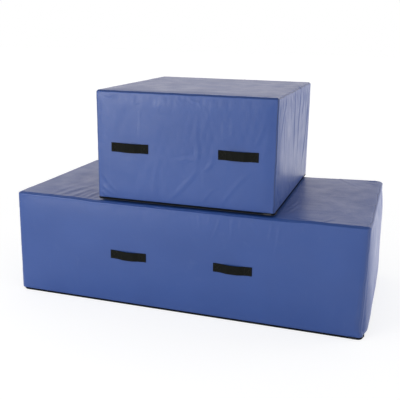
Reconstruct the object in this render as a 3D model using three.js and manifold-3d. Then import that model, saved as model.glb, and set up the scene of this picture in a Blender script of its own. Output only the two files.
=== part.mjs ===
// Two stacked spotting blocks: foam cores in zipped vinyl covers with webbing carry handles.
// Millimetres, +Z up, front toward -Y, origin on the floor under the middle of the stack.
import * as THREE from "three";
import { mergeVertices } from "three/addons/utils/BufferGeometryUtils.js";
import Module from "manifold-3d";

const wasm = await Module();
wasm.setup();

// The stack
const lowerLength = 2000;
const upperLength = 1000;
const blockWidth = 1000;
const blockHeight = 600;
const stackSetBack = 26; // the upper block stands this far behind the lower one's front
const stackShift = 8; // and this far to the right of its middle
const fitGap = 0.3; // between pieces that touch

// Each block: the crowns are how far its faces swell past the seams, and the ramps are how far
// in from an edge a crown takes to reach its full height: along Y or Z in millimetres, and along
// X as a share of the face between the handles and the edge
const blocks = {
  lower: {
    length: lowerLength,
    sideCrown: 6,
    endCrown: 14,
    topCrown: 2,
    rampXShare: 0.22,
    rampY: 220,
    rampZ: 170,
    edgeRadius: 28,
    topEdgeRadius: 12,
  },
  upper: {
    length: upperLength,
    sideCrown: 6,
    endCrown: 7,
    topCrown: 5,
    rampXShare: 0.9,
    rampY: 110,
    rampZ: 110,
    edgeRadius: 13,
    topEdgeRadius: 11,
  },
};

// Cover
const panelThickness = 1.2;
const baseThickness = 2;
const rampShares = [
  // share of the ramp, share of the crown reached there
  [0.22, 0.45],
  [0.55, 0.85],
  [1, 1],
];
const edgeSteps = 2; // facets from a seam to the flat of a face

// Zip along the front and both ends, at the foot of the cover
const tapeThickness = 1;
const tapeUnderHem = 9;
const coilWidth = 3.2;
const coilThickness = 2.5;
const coilSlot = 1.6; // between the two coils, where the slider's post runs
const stopLength = 4;
const stopOverhang = 0.6; // the stop stands this much past the coils' faces

// Zip slider
const sliderLength = 20;
const sliderShoulder = 3.5;
const sliderPlay = 0.4; // between the slider and the coils
const wingThickness = 1.2;
const backWingThickness = 1;
const flangeThickness = 0.8;
const postThickness = 1;
const postLength = 9;
const postSetBack = 3.5; // from the slider's middle towards its wide end
const bailLength = 11;
const bailWidth = 2.5;
const bailHeight = 2.8; // clear height under the bail
const bailThickness = 1;
const bailFoot = 1.5;
const sliderParking = 2; // from the rounded corner to the parked slider
const hemPlay = 0.5; // from the slider to the hem above and the base below

// Pull tab
const pullLength = 30;
const pullThickness = 1.6;
const pullRingWidth = 9;
const pullWaistWidth = 5.5;
const pullGripWidth = 8;
const pullRingLength = 9;
const pullArmWidth = 1.9;
const pullRise = 0.5; // between the slider's wing and the tab lying on it
const gripSlotLength = 8;
const gripSlotWidth = 3;

// Handles, two on the front and two on the back of each block
const handleLength = 212;
const handleWidth = 50;
const handleThickness = 2.2;
const handleSpacing = 596;
const handleHeight = 296; // of its middle above the block's foot
const handleSewnEnd = 42;
const handleRamp = 26;
const handleBow = 9.5; // clear gap under the middle of the strap
const handleRampSteps = 5;
const backingThickness = 1;
const backingMargin = 10;

// Foam, glued up from slabs
const topBoardThickness = 50;
const baseBoardThickness = 30;
const coreSlabs = ["bottom_core_slab", "middle_core_slab", "top_core_slab"];

const mergeTolerance = 0.001;
const cutOverrun = 50;
const weld = 0.3; // how far fused features of one piece sink into each other
const bendSteps = 3; // facets in a small rounded corner
const quarterTurn = Math.PI / 2;

// Worked-out sizes, and levels above a block's foot
const sliderHalfHeight = coilSlot / 2 + coilWidth + sliderPlay + flangeThickness;
const zipLevel = baseThickness + hemPlay + sliderHalfHeight;
const hemLevel = zipLevel + sliderHalfHeight + hemPlay;
const liningDepth = panelThickness + fitGap; // from the cover's face in to what lies behind it
const tapeDepth = liningDepth; // from the seam plane in to the tape's outer face
const wingLevel = fitGap + coilThickness + sliderPlay + wingThickness; // the wing's face, off the tape
const boardDepth = tapeDepth + tapeThickness + 2 * sliderPlay + backWingThickness;
const backingLength = handleLength + 2 * backingMargin;
const backingHeight = handleWidth + 2 * backingMargin;

const vinyl = new THREE.MeshStandardMaterial({ color: 0x3d55a0, roughness: 0.42, metalness: 0 });
const blackVinyl = new THREE.MeshStandardMaterial({ color: 0x15161a, roughness: 0.7, metalness: 0 });
const webbing = new THREE.MeshStandardMaterial({ color: 0x1b1c1b, roughness: 0.9, metalness: 0 });
const blackEnamel = new THREE.MeshStandardMaterial({ color: 0x1e1f21, roughness: 0.4, metalness: 0.3 });
const softFoam = new THREE.MeshStandardMaterial({ color: 0xd8d3c2, roughness: 0.95, metalness: 0 });
const firmFoam = new THREE.MeshStandardMaterial({ color: 0x6f7174, roughness: 0.9, metalness: 0 });

const across = new THREE.Vector3(1, 0, 0);
const deep = new THREE.Vector3(0, 1, 0);
const up = new THREE.Vector3(0, 0, 1);

// The planes that the seams lie in
const seamHalfLength = (block) => block.length / 2 - block.endCrown;
const seamHalfWidth = (block) => blockWidth / 2 - block.sideCrown;
const seamTop = (block) => blockHeight - block.topCrown;

// The middles of the rounded edges, which the seams' two sides share
const edgeX = (block) => seamHalfLength(block) - block.edgeRadius;
const edgeY = (block) => seamHalfWidth(block) - block.edgeRadius;
const edgeZ = (block) => seamTop(block) - block.topEdgeRadius;

// How far in from the rounded edge along X a crown takes to reach its full height
const rampX = (block) => block.rampXShare * (edgeX(block) - (handleSpacing + handleLength) / 2);

const faces = {
  front: { run: across, rise: up, out: deep.clone().negate() },
  back: { run: across.clone().negate(), rise: up, out: deep },
  right: { run: deep, rise: up, out: across },
  left: { run: deep.clone().negate(), rise: up, out: across.clone().negate() },
  top: { run: across, rise: deep, out: up },
};

function solidOf(geometry) {
  const bare = geometry.clone();
  bare.deleteAttribute("normal");
  bare.deleteAttribute("uv");
  const merged = mergeVertices(bare, mergeTolerance);
  const mesh = new wasm.Mesh({
    numProp: 3,
    vertProperties: merged.attributes.position.array,
    triVerts: new Uint32Array(merged.index.array),
  });
  return new wasm.Manifold(mesh);
}

function geometryOf(solid) {
  const { vertProperties, triVerts } = solid.getMesh();
  const geometry = new THREE.BufferGeometry();
  geometry.setAttribute("position", new THREE.BufferAttribute(vertProperties, 3));
  geometry.setIndex(new THREE.BufferAttribute(triVerts, 1));
  geometry.computeVertexNormals();
  return geometry;
}

function facetGeometry(facets) {
  const points = facets.flatMap(([first, second, third, fourth]) => {
    const near = [first, second, third];
    return fourth ? [...near, first, third, fourth] : near;
  });
  const geometry = new THREE.BufferGeometry().setFromPoints(points);
  geometry.computeVertexNormals();
  return geometry;
}

function boxSolid(low, high) {
  const size = high.clone().sub(low);
  const box = new THREE.BoxGeometry(size.x, size.y, size.z);
  box.translate(...low.clone().add(high).multiplyScalar(0.5));
  return solidOf(box);
}

function rounded(shape, x, y, radius, from, to, steps) {
  for (let i = 0; i <= steps; i += 1) {
    const angle = from + ((to - from) * i) / steps;
    shape.push(new THREE.Vector2(x + radius * Math.cos(angle), y + radius * Math.sin(angle)));
  }
}

// From a seam to the flat of a face and on up its crown: tilt is the tangent of the lean there
function edgeStations(edge, radius, ramp, inward, seamGap) {
  const seamLean = (quarterTurn - seamGap / radius) / 2;
  const stations = [];
  for (let i = edgeSteps; i >= 0; i -= 1) {
    stations.push({ at: edge, tilt: -inward * Math.tan((seamLean * i) / edgeSteps), lift: 0 });
  }
  for (const [rampShare, liftShare] of rampShares) {
    stations.push({ at: edge + inward * rampShare * ramp, tilt: 0, lift: liftShare });
  }
  return stations;
}

function acrossStations(edge, radius, ramp, seamGap) {
  const start = edgeStations(-edge, radius, ramp, 1, seamGap);
  const end = edgeStations(edge, radius, ramp, -1, seamGap).reverse();
  return [...start, ...end];
}

// From the hem up to the top seam. The back panel has no zip under it and reaches the base.
function upStations(block, foot, seamGap) {
  const start = [{ at: hemLevel, tilt: 0, lift: 0 }];
  if (foot < hemLevel) {
    start.unshift({ at: foot, tilt: 0, lift: 0 });
  }
  for (const [rampShare, liftShare] of rampShares) {
    start.push({ at: hemLevel + rampShare * block.rampZ, tilt: 0, lift: liftShare });
  }
  const end = edgeStations(edgeZ(block), block.topEdgeRadius, block.rampZ, -1, seamGap).reverse();
  return [...start, ...end];
}

function stationsOf(block, name, foot, seamGap) {
  const along = acrossStations(edgeX(block), block.edgeRadius, rampX(block), seamGap);
  const inward = acrossStations(edgeY(block), block.edgeRadius, block.rampY, seamGap);
  const upward = upStations(block, foot, seamGap);
  if (name === "top") {
    return { columns: along, rows: inward };
  }
  if (name === "front" || name === "back") {
    return { columns: along, rows: upward };
  }
  return { columns: inward, rows: upward };
}

function faceReach(block, name) {
  if (name === "top") {
    return { reach: edgeZ(block), crown: block.topCrown };
  }
  if (name === "front" || name === "back") {
    return { reach: edgeY(block), crown: block.sideCrown };
  }
  return { reach: edgeX(block), crown: block.endCrown };
}

// The points of one face of the block, the given depth inside the cover's outer surface
function faceGrid(block, name, depth, foot, seamGap) {
  const { run, rise, out } = faces[name];
  const { columns, rows } = stationsOf(block, name, foot, seamGap);
  const { reach, crown } = faceReach(block, name);
  const edge = block.edgeRadius - depth;
  const radii = new THREE.Vector3(edge, edge, block.topEdgeRadius - depth);
  return rows.map((row) =>
    columns.map((column) => {
      const lean = out.clone().addScaledVector(run, column.tilt).addScaledVector(rise, row.tilt);
      const lift = reach + crown * column.lift * row.lift;
      return lean
        .normalize()
        .multiply(radii)
        .addScaledVector(run, column.at)
        .addScaledVector(rise, row.at)
        .addScaledVector(out, lift);
    }),
  );
}

function gridFacets(grid) {
  const facets = [];
  for (let row = 1; row < grid.length; row += 1) {
    for (let column = 1; column < grid[row].length; column += 1) {
      const below = grid[row - 1];
      const above = grid[row];
      facets.push([below[column - 1], below[column], above[column], above[column - 1]]);
    }
  }
  return facets;
}

function rimOf(grid) {
  const last = grid[0].length - 1;
  const rightSide = grid.map((row) => row[last]);
  const leftSide = grid.map((row) => row[0]).reverse();
  const top = [...grid[grid.length - 1]].reverse();
  return [...grid[0], ...rightSide.slice(1), ...top.slice(1), ...leftSide.slice(1)];
}

// A sheet of the cover: its outer and inner faces, joined round the rim
function panelGeometry(block, name, foot) {
  const outer = faceGrid(block, name, 0, foot, fitGap);
  const inner = faceGrid(block, name, panelThickness, foot, fitGap);
  const outerRim = rimOf(outer);
  const innerRim = rimOf(inner);
  const edges = outerRim
    .slice(1)
    .map((point, i) => [innerRim[i], innerRim[i + 1], point, outerRim[i]]);
  const lining = gridFacets(inner).map(([a, b, c, d]) => [a, d, c, b]);
  return facetGeometry([...gridFacets(outer), ...lining, ...edges]);
}

// The space above the hem that lies at least the given depth inside the cover's outer surface
function coreSolid(block, depth) {
  const facets = [];
  const middle = new THREE.Vector3(0, 0, hemLevel);
  for (const name of Object.keys(faces)) {
    const grid = faceGrid(block, name, depth, hemLevel, 0);
    facets.push(...gridFacets(grid));
    if (name !== "top") {
      const foot = grid[0];
      foot.slice(1).forEach((point, i) => facets.push([point, foot[i], middle]));
    }
  }
  return solidOf(facetGeometry(facets));
}

// A rounded plan outline, the given depth inside the seam planes
function planShape(block, depth) {
  const radius = block.edgeRadius - depth;
  const x = edgeX(block);
  const y = edgeY(block);
  const steps = 2 * edgeSteps;
  const points = [];
  rounded(points, x, y, radius, 0, quarterTurn, steps);
  rounded(points, -x, y, radius, quarterTurn, 2 * quarterTurn, steps);
  rounded(points, -x, -y, radius, 2 * quarterTurn, 3 * quarterTurn, steps);
  rounded(points, x, -y, radius, 3 * quarterTurn, 4 * quarterTurn, steps);
  return new THREE.Shape(points);
}

// The zip's line in plan: up one end of the block, along the front and down the other end.
// Its ends stop short of the back corners, or turn into them by the tail angle.
function zipLine(block, depth, tail, endCut) {
  const radius = block.edgeRadius - depth;
  const x = edgeX(block);
  const y = edgeY(block);
  const steps = 2 * edgeSteps;
  const points = [];
  if (tail > 0) {
    rounded(points, -x, y, radius, 2 * quarterTurn - tail, 2 * quarterTurn, edgeSteps);
  } else {
    points.push(new THREE.Vector2(-x - radius, y - endCut));
  }
  rounded(points, -x, -y, radius, 2 * quarterTurn, 3 * quarterTurn, steps);
  rounded(points, x, -y, radius, 3 * quarterTurn, 4 * quarterTurn, steps);
  if (tail > 0) {
    rounded(points, x, y, radius, 0, tail, edgeSteps);
  } else {
    points.push(new THREE.Vector2(x + radius, y - endCut));
  }
  return points;
}

function zipBand(block, outerDepth, innerDepth, low, high, tail, endCut) {
  const outer = zipLine(block, outerDepth, tail, endCut);
  const inner = zipLine(block, innerDepth, tail, endCut).reverse();
  const shape = new THREE.Shape([...outer, ...inner]);
  const band = new THREE.ExtrudeGeometry(shape, { depth: high - low, bevelEnabled: false });
  band.translate(0, 0, low);
  return band;
}

function tapeGeometry(block, low, high) {
  return zipBand(block, tapeDepth, tapeDepth + tapeThickness, low, high, quarterTurn / 2, 0);
}

function coilGeometry(block, low) {
  const inner = tapeDepth - fitGap;
  const cut = stopLength + fitGap;
  return zipBand(block, inner - coilThickness, inner, low, low + coilWidth, 0, cut);
}

function stopGeometry() {
  const height = coilSlot + 2 * coilWidth;
  return new THREE.BoxGeometry(stopLength, height, coilThickness + stopOverhang);
}

// Slider, lying along X with its face toward +Z and Z zero at the tape's outer face
function wingShape() {
  const half = sliderLength / 2;
  const wide = sliderHalfHeight;
  const shape = new THREE.Shape();
  shape.moveTo(-half, -wide + sliderShoulder / 2);
  shape.quadraticCurveTo(-half, -wide, -half + sliderShoulder, -wide);
  shape.lineTo(half - sliderShoulder, -wide);
  shape.quadraticCurveTo(half, -wide, half, -wide + sliderShoulder);
  shape.lineTo(half, wide - sliderShoulder);
  shape.quadraticCurveTo(half, wide, half - sliderShoulder, wide);
  shape.lineTo(-half + sliderShoulder, wide);
  shape.quadraticCurveTo(-half, wide, -half, wide - sliderShoulder / 2);
  return shape;
}

function plateSolid(shape, low, high) {
  const settings = { depth: high - low, bevelEnabled: false, curveSegments: bendSteps };
  const plate = new THREE.ExtrudeGeometry(shape, settings);
  plate.translate(0, 0, low);
  return solidOf(plate);
}

function postShape() {
  const half = postLength / 2;
  const thick = postThickness / 2;
  const shape = new THREE.Shape();
  shape.moveTo(-half, 0);
  shape.quadraticCurveTo(0, -2 * thick, half, 0);
  shape.quadraticCurveTo(0, 2 * thick, -half, 0);
  return shape;
}

function bailShape() {
  const half = bailLength / 2;
  const top = bailHeight + bailThickness;
  const bend = bailFoot;
  const shape = new THREE.Shape();
  shape.moveTo(-half, -weld);
  shape.lineTo(-half + bailFoot, -weld);
  shape.lineTo(-half + bailFoot, bailHeight);
  shape.lineTo(half - bailFoot, bailHeight);
  shape.lineTo(half - bailFoot, -weld);
  shape.lineTo(half, -weld);
  shape.lineTo(half, top - bend);
  shape.quadraticCurveTo(half, top, half - bend, top);
  shape.lineTo(-half + bend, top);
  shape.quadraticCurveTo(-half, top, -half, top - bend);
  return shape;
}

function bailSolid() {
  const settings = { depth: bailWidth, bevelEnabled: false, curveSegments: bendSteps };
  const bail = new THREE.ExtrudeGeometry(bailShape(), settings);
  bail.translate(0, 0, -bailWidth / 2);
  bail.rotateX(quarterTurn);
  bail.translate(0, 0, wingLevel);
  return solidOf(bail);
}

function flangeSolid(side) {
  const outer = side * sliderHalfHeight;
  const inner = side * (sliderHalfHeight - flangeThickness);
  const reach = sliderLength / 2 - sliderShoulder;
  const foot = fitGap + sliderPlay;
  const low = new THREE.Vector3(-reach, Math.min(inner, outer), foot);
  const high = new THREE.Vector3(reach, Math.max(inner, outer), wingLevel - wingThickness + weld);
  return boxSolid(low, high);
}

function sliderGeometry(wideEnd) {
  const back = -tapeThickness - sliderPlay;
  const front = wingLevel - wingThickness;
  const post = plateSolid(postShape(), back - weld, front + weld);
  const solid = plateSolid(wingShape(), front, wingLevel)
    .add(plateSolid(wingShape(), back - backWingThickness, back))
    .add(post.translate([wideEnd * postSetBack, 0, 0]))
    .add(flangeSolid(1))
    .add(flangeSolid(-1))
    .add(bailSolid());
  return geometryOf(solid);
}

// Pull tab: a ring under the bail, a waist and a slotted grip, from its pivot out along X
function pullShape() {
  const bar = pullThickness / 2;
  const ring = pullRingWidth / 2;
  const waist = pullWaistWidth / 2;
  const grip = pullGripWidth / 2;
  const waistAt = pullRingLength + waist;
  const shape = new THREE.Shape();
  shape.moveTo(-bar, -ring);
  shape.lineTo(pullRingLength, -ring);
  shape.quadraticCurveTo(waistAt, -ring, waistAt, -waist);
  shape.lineTo(pullLength - 2 * grip, -grip);
  shape.lineTo(pullLength - grip, -grip);
  shape.quadraticCurveTo(pullLength, -grip, pullLength, 0);
  shape.quadraticCurveTo(pullLength, grip, pullLength - grip, grip);
  shape.lineTo(pullLength - 2 * grip, grip);
  shape.lineTo(waistAt, waist);
  shape.quadraticCurveTo(waistAt, ring, pullRingLength, ring);
  shape.lineTo(-bar, ring);
  shape.holes.push(ringWindow(), gripSlot());
  return shape;
}

function ringWindow() {
  const side = pullRingWidth / 2 - pullArmWidth;
  const near = pullThickness / 2;
  return new THREE.Path([
    new THREE.Vector2(near, -side),
    new THREE.Vector2(near, side),
    new THREE.Vector2(pullRingLength - pullArmWidth / 2, side),
    new THREE.Vector2(pullRingLength - pullArmWidth / 2, -side),
  ]);
}

function gripSlot() {
  const half = gripSlotWidth / 2;
  const end = pullLength - pullGripWidth / 2;
  const start = end - gripSlotLength;
  const points = [];
  rounded(points, end - half, 0, half, quarterTurn, -quarterTurn, bendSteps);
  rounded(points, start + half, 0, half, -quarterTurn, -3 * quarterTurn, bendSteps);
  return new THREE.Path(points);
}

function pullGeometry(direction) {
  const settings = { depth: pullThickness, bevelEnabled: false, curveSegments: bendSteps };
  const pull = new THREE.ExtrudeGeometry(pullShape(), settings);
  pull.translate(0, 0, wingLevel + pullRise);
  if (direction < 0) {
    pull.rotateZ(2 * quarterTurn);
  }
  return pull;
}

// Carry handle: flat sewn ends and a bowed middle, drawn along X and bowing toward +Y
function handleRise(place) {
  const slack = handleLength / 2 - handleSewnEnd;
  const climb = THREE.MathUtils.clamp((slack - Math.abs(place)) / handleRamp, 0, 1);
  return (handleBow * (1 - Math.cos(Math.PI * climb))) / 2;
}

function handlePlaces() {
  const end = handleLength / 2;
  const sewn = end - handleSewnEnd;
  const rightSide = [];
  for (let i = handleRampSteps; i >= 0; i -= 1) {
    rightSide.push(sewn - (handleRamp * i) / handleRampSteps);
  }
  rightSide.push(end);
  return [...rightSide.map((place) => -place).reverse(), ...rightSide];
}

function handleGeometry() {
  const places = handlePlaces();
  const tiny = handleRamp / handleRampSteps / 2;
  const under = places.map((place) => new THREE.Vector2(place, handleRise(place)));
  const over = places.map((place) => {
    const lean = Math.atan2(handleRise(place + tiny) - handleRise(place - tiny), 2 * tiny);
    const offset = new THREE.Vector2(-Math.sin(lean), Math.cos(lean)).multiplyScalar(handleThickness);
    return new THREE.Vector2(place, handleRise(place)).add(offset);
  });
  const shape = new THREE.Shape([...under, ...over.reverse()]);
  const strap = new THREE.ExtrudeGeometry(shape, { depth: handleWidth, bevelEnabled: false });
  strap.translate(0, fitGap, -handleWidth / 2);
  return strap;
}

function piece(group, name, geometry, material) {
  const mesh = new THREE.Mesh(geometry, material);
  mesh.name = name;
  group.add(mesh);
  return mesh;
}

function addCover(group, block, prefix) {
  const baseTop = baseThickness + fitGap;
  const names = {
    front: "front_panel",
    back: "back_panel",
    right: "right_end_panel",
    left: "left_end_panel",
    top: "top_panel",
  };
  for (const [name, label] of Object.entries(names)) {
    const foot = name === "back" ? baseTop : hemLevel;
    piece(group, `${prefix}_${label}`, panelGeometry(block, name, foot), vinyl);
  }
  const settings = { depth: baseThickness, bevelEnabled: false };
  const base = new THREE.ExtrudeGeometry(planShape(block, tapeDepth), settings);
  piece(group, `${prefix}_base_panel`, base, blackVinyl);
}

// The outline of a backing strip, grown by the given play and run through the cover
function backingBlock(x, side, play) {
  const halfLength = backingLength / 2 + play;
  const halfHeight = backingHeight / 2 + play;
  const near = blockWidth / 2 - cutOverrun;
  const far = blockWidth / 2 + cutOverrun;
  const low = new THREE.Vector3(x - halfLength, side > 0 ? near : -far, handleHeight - halfHeight);
  const high = new THREE.Vector3(x + halfLength, side > 0 ? far : -near, handleHeight + halfHeight);
  return boxSolid(low, high);
}

function addFoam(group, block, prefix) {
  const core = coreSolid(block, liningDepth);
  const coreBehindBackings = coreSolid(block, liningDepth + backingThickness + fitGap);
  const reach = new THREE.Vector2(block.length, blockWidth).divideScalar(2).addScalar(cutOverrun);
  const slab = (low, high) =>
    core.intersect(
      boxSolid(new THREE.Vector3(-reach.x, -reach.y, low), new THREE.Vector3(reach.x, reach.y, high)),
    );
  const boardFoot = baseThickness + fitGap;
  const boardTop = boardFoot + baseBoardThickness;
  const board = new THREE.ExtrudeGeometry(planShape(block, boardDepth), {
    depth: baseBoardThickness,
    bevelEnabled: false,
  });
  board.translate(0, 0, boardFoot);
  piece(group, `${prefix}_base_board`, board, firmFoam);

  const topBoardFoot = blockHeight - panelThickness - fitGap - topBoardThickness;
  const pitch = (topBoardFoot - boardTop) / coreSlabs.length;
  coreSlabs.forEach((name, i) => {
    const low = boardTop + i * pitch + fitGap;
    let solid = slab(low, low + pitch - fitGap);
    for (const { x, side } of handleSpots()) {
      solid = solid.subtract(backingBlock(x, side, fitGap).subtract(coreBehindBackings));
    }
    piece(group, `${prefix}_${name}`, geometryOf(solid), softFoam);
  });
  const topBoard = slab(topBoardFoot + fitGap, blockHeight + cutOverrun);
  piece(group, `${prefix}_top_board`, geometryOf(topBoard), firmFoam);
}

function handleSpots() {
  const x = handleSpacing / 2;
  return [
    { x: -x, side: -1, name: "front_left" },
    { x, side: -1, name: "front_right" },
    { x: -x, side: 1, name: "back_left" },
    { x, side: 1, name: "back_right" },
  ];
}

function addHandles(group, block, prefix) {
  const behindCover = coreSolid(block, liningDepth);
  const behindBackings = coreSolid(block, liningDepth + backingThickness);
  for (const { x, side, name } of handleSpots()) {
    const handle = piece(group, `${prefix}_${name}_handle`, handleGeometry(), webbing);
    handle.position.set(x, (side * blockWidth) / 2, handleHeight);
    handle.rotation.x = side < 0 ? 2 * quarterTurn : 0;
    const backing = behindCover.intersect(backingBlock(x, side, 0)).subtract(behindBackings);
    piece(group, `${prefix}_${name}_handle_backing`, geometryOf(backing), blackVinyl);
  }
}

// Frames on the zip's two straight runs: X along the run, Y up, Z out of the cover
function zipRuns(block) {
  const out = tapeDepth;
  const park = sliderLength / 2 + sliderParking;
  return [
    {
      name: "front",
      at: new THREE.Vector3(edgeX(block) - park, -seamHalfWidth(block) + out, zipLevel),
      turn: new THREE.Matrix4().makeBasis(across, up, deep.clone().negate()),
      pullDirection: -1,
    },
    {
      name: "end",
      at: new THREE.Vector3(seamHalfLength(block) - out, -edgeY(block) + park, zipLevel),
      turn: new THREE.Matrix4().makeBasis(deep, up, across),
      pullDirection: 1,
    },
  ];
}

function addSliders(group, block, prefix) {
  for (const { name, at, turn, pullDirection } of zipRuns(block)) {
    const seat = new THREE.Group();
    seat.position.copy(at);
    seat.setRotationFromMatrix(turn);
    group.add(seat);
    piece(seat, `${prefix}_${name}_zip_slider`, sliderGeometry(-pullDirection), blackEnamel);
    piece(seat, `${prefix}_${name}_zip_pull`, pullGeometry(pullDirection), blackEnamel);
  }
}

function addStops(group, block, prefix) {
  const height = (coilThickness + stopOverhang) / 2 + fitGap - tapeDepth;
  const x = seamHalfLength(block) + height;
  const y = edgeY(block) - stopLength / 2;
  for (const [name, side] of [["left", -1], ["right", 1]]) {
    const stop = piece(group, `${prefix}_${name}_zip_stop`, stopGeometry(), blackEnamel);
    stop.position.set(side * x, y, zipLevel);
    stop.setRotationFromMatrix(new THREE.Matrix4().makeBasis(deep, up, across));
  }
}

function addZip(group, block, prefix) {
  const slotTop = zipLevel + coilSlot / 2;
  const slotFoot = zipLevel - coilSlot / 2;
  const coverTape = tapeGeometry(block, slotTop, hemLevel + tapeUnderHem);
  const baseTape = tapeGeometry(block, baseThickness + fitGap, slotFoot);
  piece(group, `${prefix}_cover_zip_tape`, coverTape, webbing);
  piece(group, `${prefix}_base_zip_tape`, baseTape, webbing);
  piece(group, `${prefix}_cover_zip_coil`, coilGeometry(block, slotTop), blackVinyl);
  piece(group, `${prefix}_base_zip_coil`, coilGeometry(block, slotFoot - coilWidth), blackVinyl);
  addStops(group, block, prefix);
  addSliders(group, block, prefix);
}

function blockGroup(prefix) {
  const block = blocks[prefix];
  const group = new THREE.Group();
  addFoam(group, block, prefix);
  addCover(group, block, prefix);
  addZip(group, block, prefix);
  addHandles(group, block, prefix);
  return group;
}

const stack = new THREE.Group();
const lower = blockGroup("lower");
lower.position.y = -stackSetBack / 2;
const upper = blockGroup("upper");
upper.position.set(stackShift, stackSetBack / 2, blockHeight + fitGap);
stack.add(lower, upper);

export default stack;
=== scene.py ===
"""Looks of two stacked spotting blocks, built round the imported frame. Metres, front toward -Y."""
import math

import bmesh
import bpy
import numpy as np
from mathutils import Matrix, Vector


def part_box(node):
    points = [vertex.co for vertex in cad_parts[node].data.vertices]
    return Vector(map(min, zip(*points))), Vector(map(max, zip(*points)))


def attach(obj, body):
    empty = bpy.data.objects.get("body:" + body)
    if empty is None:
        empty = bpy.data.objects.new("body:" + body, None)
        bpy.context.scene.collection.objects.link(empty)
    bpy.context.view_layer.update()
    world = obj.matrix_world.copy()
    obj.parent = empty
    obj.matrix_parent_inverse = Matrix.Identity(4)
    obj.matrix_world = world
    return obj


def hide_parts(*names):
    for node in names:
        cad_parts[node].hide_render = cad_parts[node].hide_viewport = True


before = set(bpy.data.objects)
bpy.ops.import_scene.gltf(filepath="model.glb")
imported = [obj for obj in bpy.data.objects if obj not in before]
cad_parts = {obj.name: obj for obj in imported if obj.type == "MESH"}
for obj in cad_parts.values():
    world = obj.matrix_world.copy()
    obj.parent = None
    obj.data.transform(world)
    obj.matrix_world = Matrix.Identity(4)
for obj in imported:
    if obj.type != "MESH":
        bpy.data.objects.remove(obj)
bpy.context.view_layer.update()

MM = 0.001
X, Y, Z = range(3)
EIGHTH_TURN = math.pi / 4
QUARTER_TURN = math.pi / 2
FULL_TURN = 2 * math.pi

# The stack, as the solids have it
BLOCK_WIDTH = 1000 * MM
BLOCK_HEIGHT = 600 * MM
STACK_SET_BACK = 26 * MM
STACK_SHIFT = 8 * MM
FIT_GAP = 0.3 * MM
BASE_THICKNESS = 2 * MM
CLOTH_THICKNESS = 0.5 * MM
HEM_LEVEL = 12.4 * MM
CROWN_POWER = 2.5

BLOCKS = {
    "lower": {
        "length": 2000 * MM,
        "crowns": (14 * MM, 6 * MM, 2 * MM),
        "ramp_x_share": 0.22,
        "ramps": (None, 220 * MM, 170 * MM),
        "radii": (28 * MM, 28 * MM, 12 * MM),
        "origin": (0, -STACK_SET_BACK / 2, 0),
        "spacings": (7 * MM, 12 * MM, 10 * MM),
        "seed": 11,
    },
    "upper": {
        "length": 1000 * MM,
        "crowns": (7 * MM, 6 * MM, 5 * MM),
        "ramp_x_share": 0.9,
        "ramps": (None, 110 * MM, 75 * MM),
        "radii": (13 * MM, 13 * MM, 11 * MM),
        "origin": (STACK_SHIFT, STACK_SET_BACK / 2, BLOCK_HEIGHT + FIT_GAP),
        "spacings": (6 * MM, 8 * MM, 6 * MM),
        "seed": 29,
    },
}

# Each face: the axes along it, its outward axis and sign, and the seams at its four sides
FACES = {
    "front": {"axes": (X, Z, Y), "sign": -1, "node": "front_panel",
              "seams": ("front_left", "front_right", None, "top_front")},
    "back": {"axes": (X, Z, Y), "sign": 1, "node": "back_panel",
             "seams": ("back_left", "back_right", None, "top_back")},
    "right": {"axes": (Y, Z, X), "sign": 1, "node": "right_end_panel",
              "seams": ("front_right", "back_right", None, "top_right")},
    "left": {"axes": (Y, Z, X), "sign": -1, "node": "left_end_panel",
             "seams": ("front_left", "back_left", None, "top_left")},
    "top": {"axes": (X, Y, Z), "sign": 1, "node": "top_panel",
            "seams": ("top_left", "top_right", "top_front", "top_back")},
}

# Handles
HANDLE_LENGTH = 212 * MM
HANDLE_WIDTH = 50 * MM
HANDLE_THICKNESS = 2.2 * MM
HANDLE_SPACING = 596 * MM
HANDLE_HEIGHT = 296 * MM
HANDLE_SEWN_END = 42 * MM
HANDLE_RAMP = 40 * MM
HANDLE_BOW = 7 * MM
HANDLE_SAGS = {"lower": 2.5 * MM, "upper": 0.8 * MM}
BACKING_MARGIN = 10 * MM
BACKING_THICKNESS = 1 * MM

# Zip, from its level in the middle of the slot between the coils
ZIP_LEVEL = 7.7 * MM
TAPE_DEPTH = 1.5 * MM
TAPE_THICKNESS = 1 * MM
TAPE_UNDER_HEM = 9 * MM
COIL_SLOT = 1.6 * MM
COIL_WIDTH = 3.2 * MM
COIL_THICKNESS = 2.5 * MM
COIL_PITCH = 3.4 * MM
COIL_WIRE = 0.42 * MM
STOP_LENGTH = 4 * MM

# Foam
FOAM_INSET = 9 * MM
FOAM_NODES = ("base_board", "bottom_core_slab", "middle_core_slab", "top_core_slab", "top_board")
FIRM_FOAM_NODES = ("base_board", "top_board")


def block_size(block):
    return (block["length"], BLOCK_WIDTH, BLOCK_HEIGHT)


def seam_plane(block, axis):
    half = block_size(block)[axis] if axis == Z else block_size(block)[axis] / 2
    return half - block["crowns"][axis]


def edge_of(block, axis):
    return seam_plane(block, axis) - block["radii"][axis]


def low_edge(block, axis):
    return HEM_LEVEL if axis == Z else -edge_of(block, axis)


def ramp_of(block, axis):
    if axis == X:
        return block["ramp_x_share"] * (edge_of(block, X) - (HANDLE_SPACING + HANDLE_LENGTH) / 2)
    return block["ramps"][axis]


def crown_share(block, axis, at):
    """How much of the crown a face has reached at these places along one of its axes."""
    inside = np.minimum(at - low_edge(block, axis), edge_of(block, axis) - at)
    return 1 - (1 - np.clip(inside / ramp_of(block, axis), 0, 1)) ** CROWN_POWER


def smooth(t):
    t = np.clip(t, 0, 1)
    return t * t * (3 - 2 * t)


RIPPLE_POWER = 0.7  # how much lower the short waves are


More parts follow.
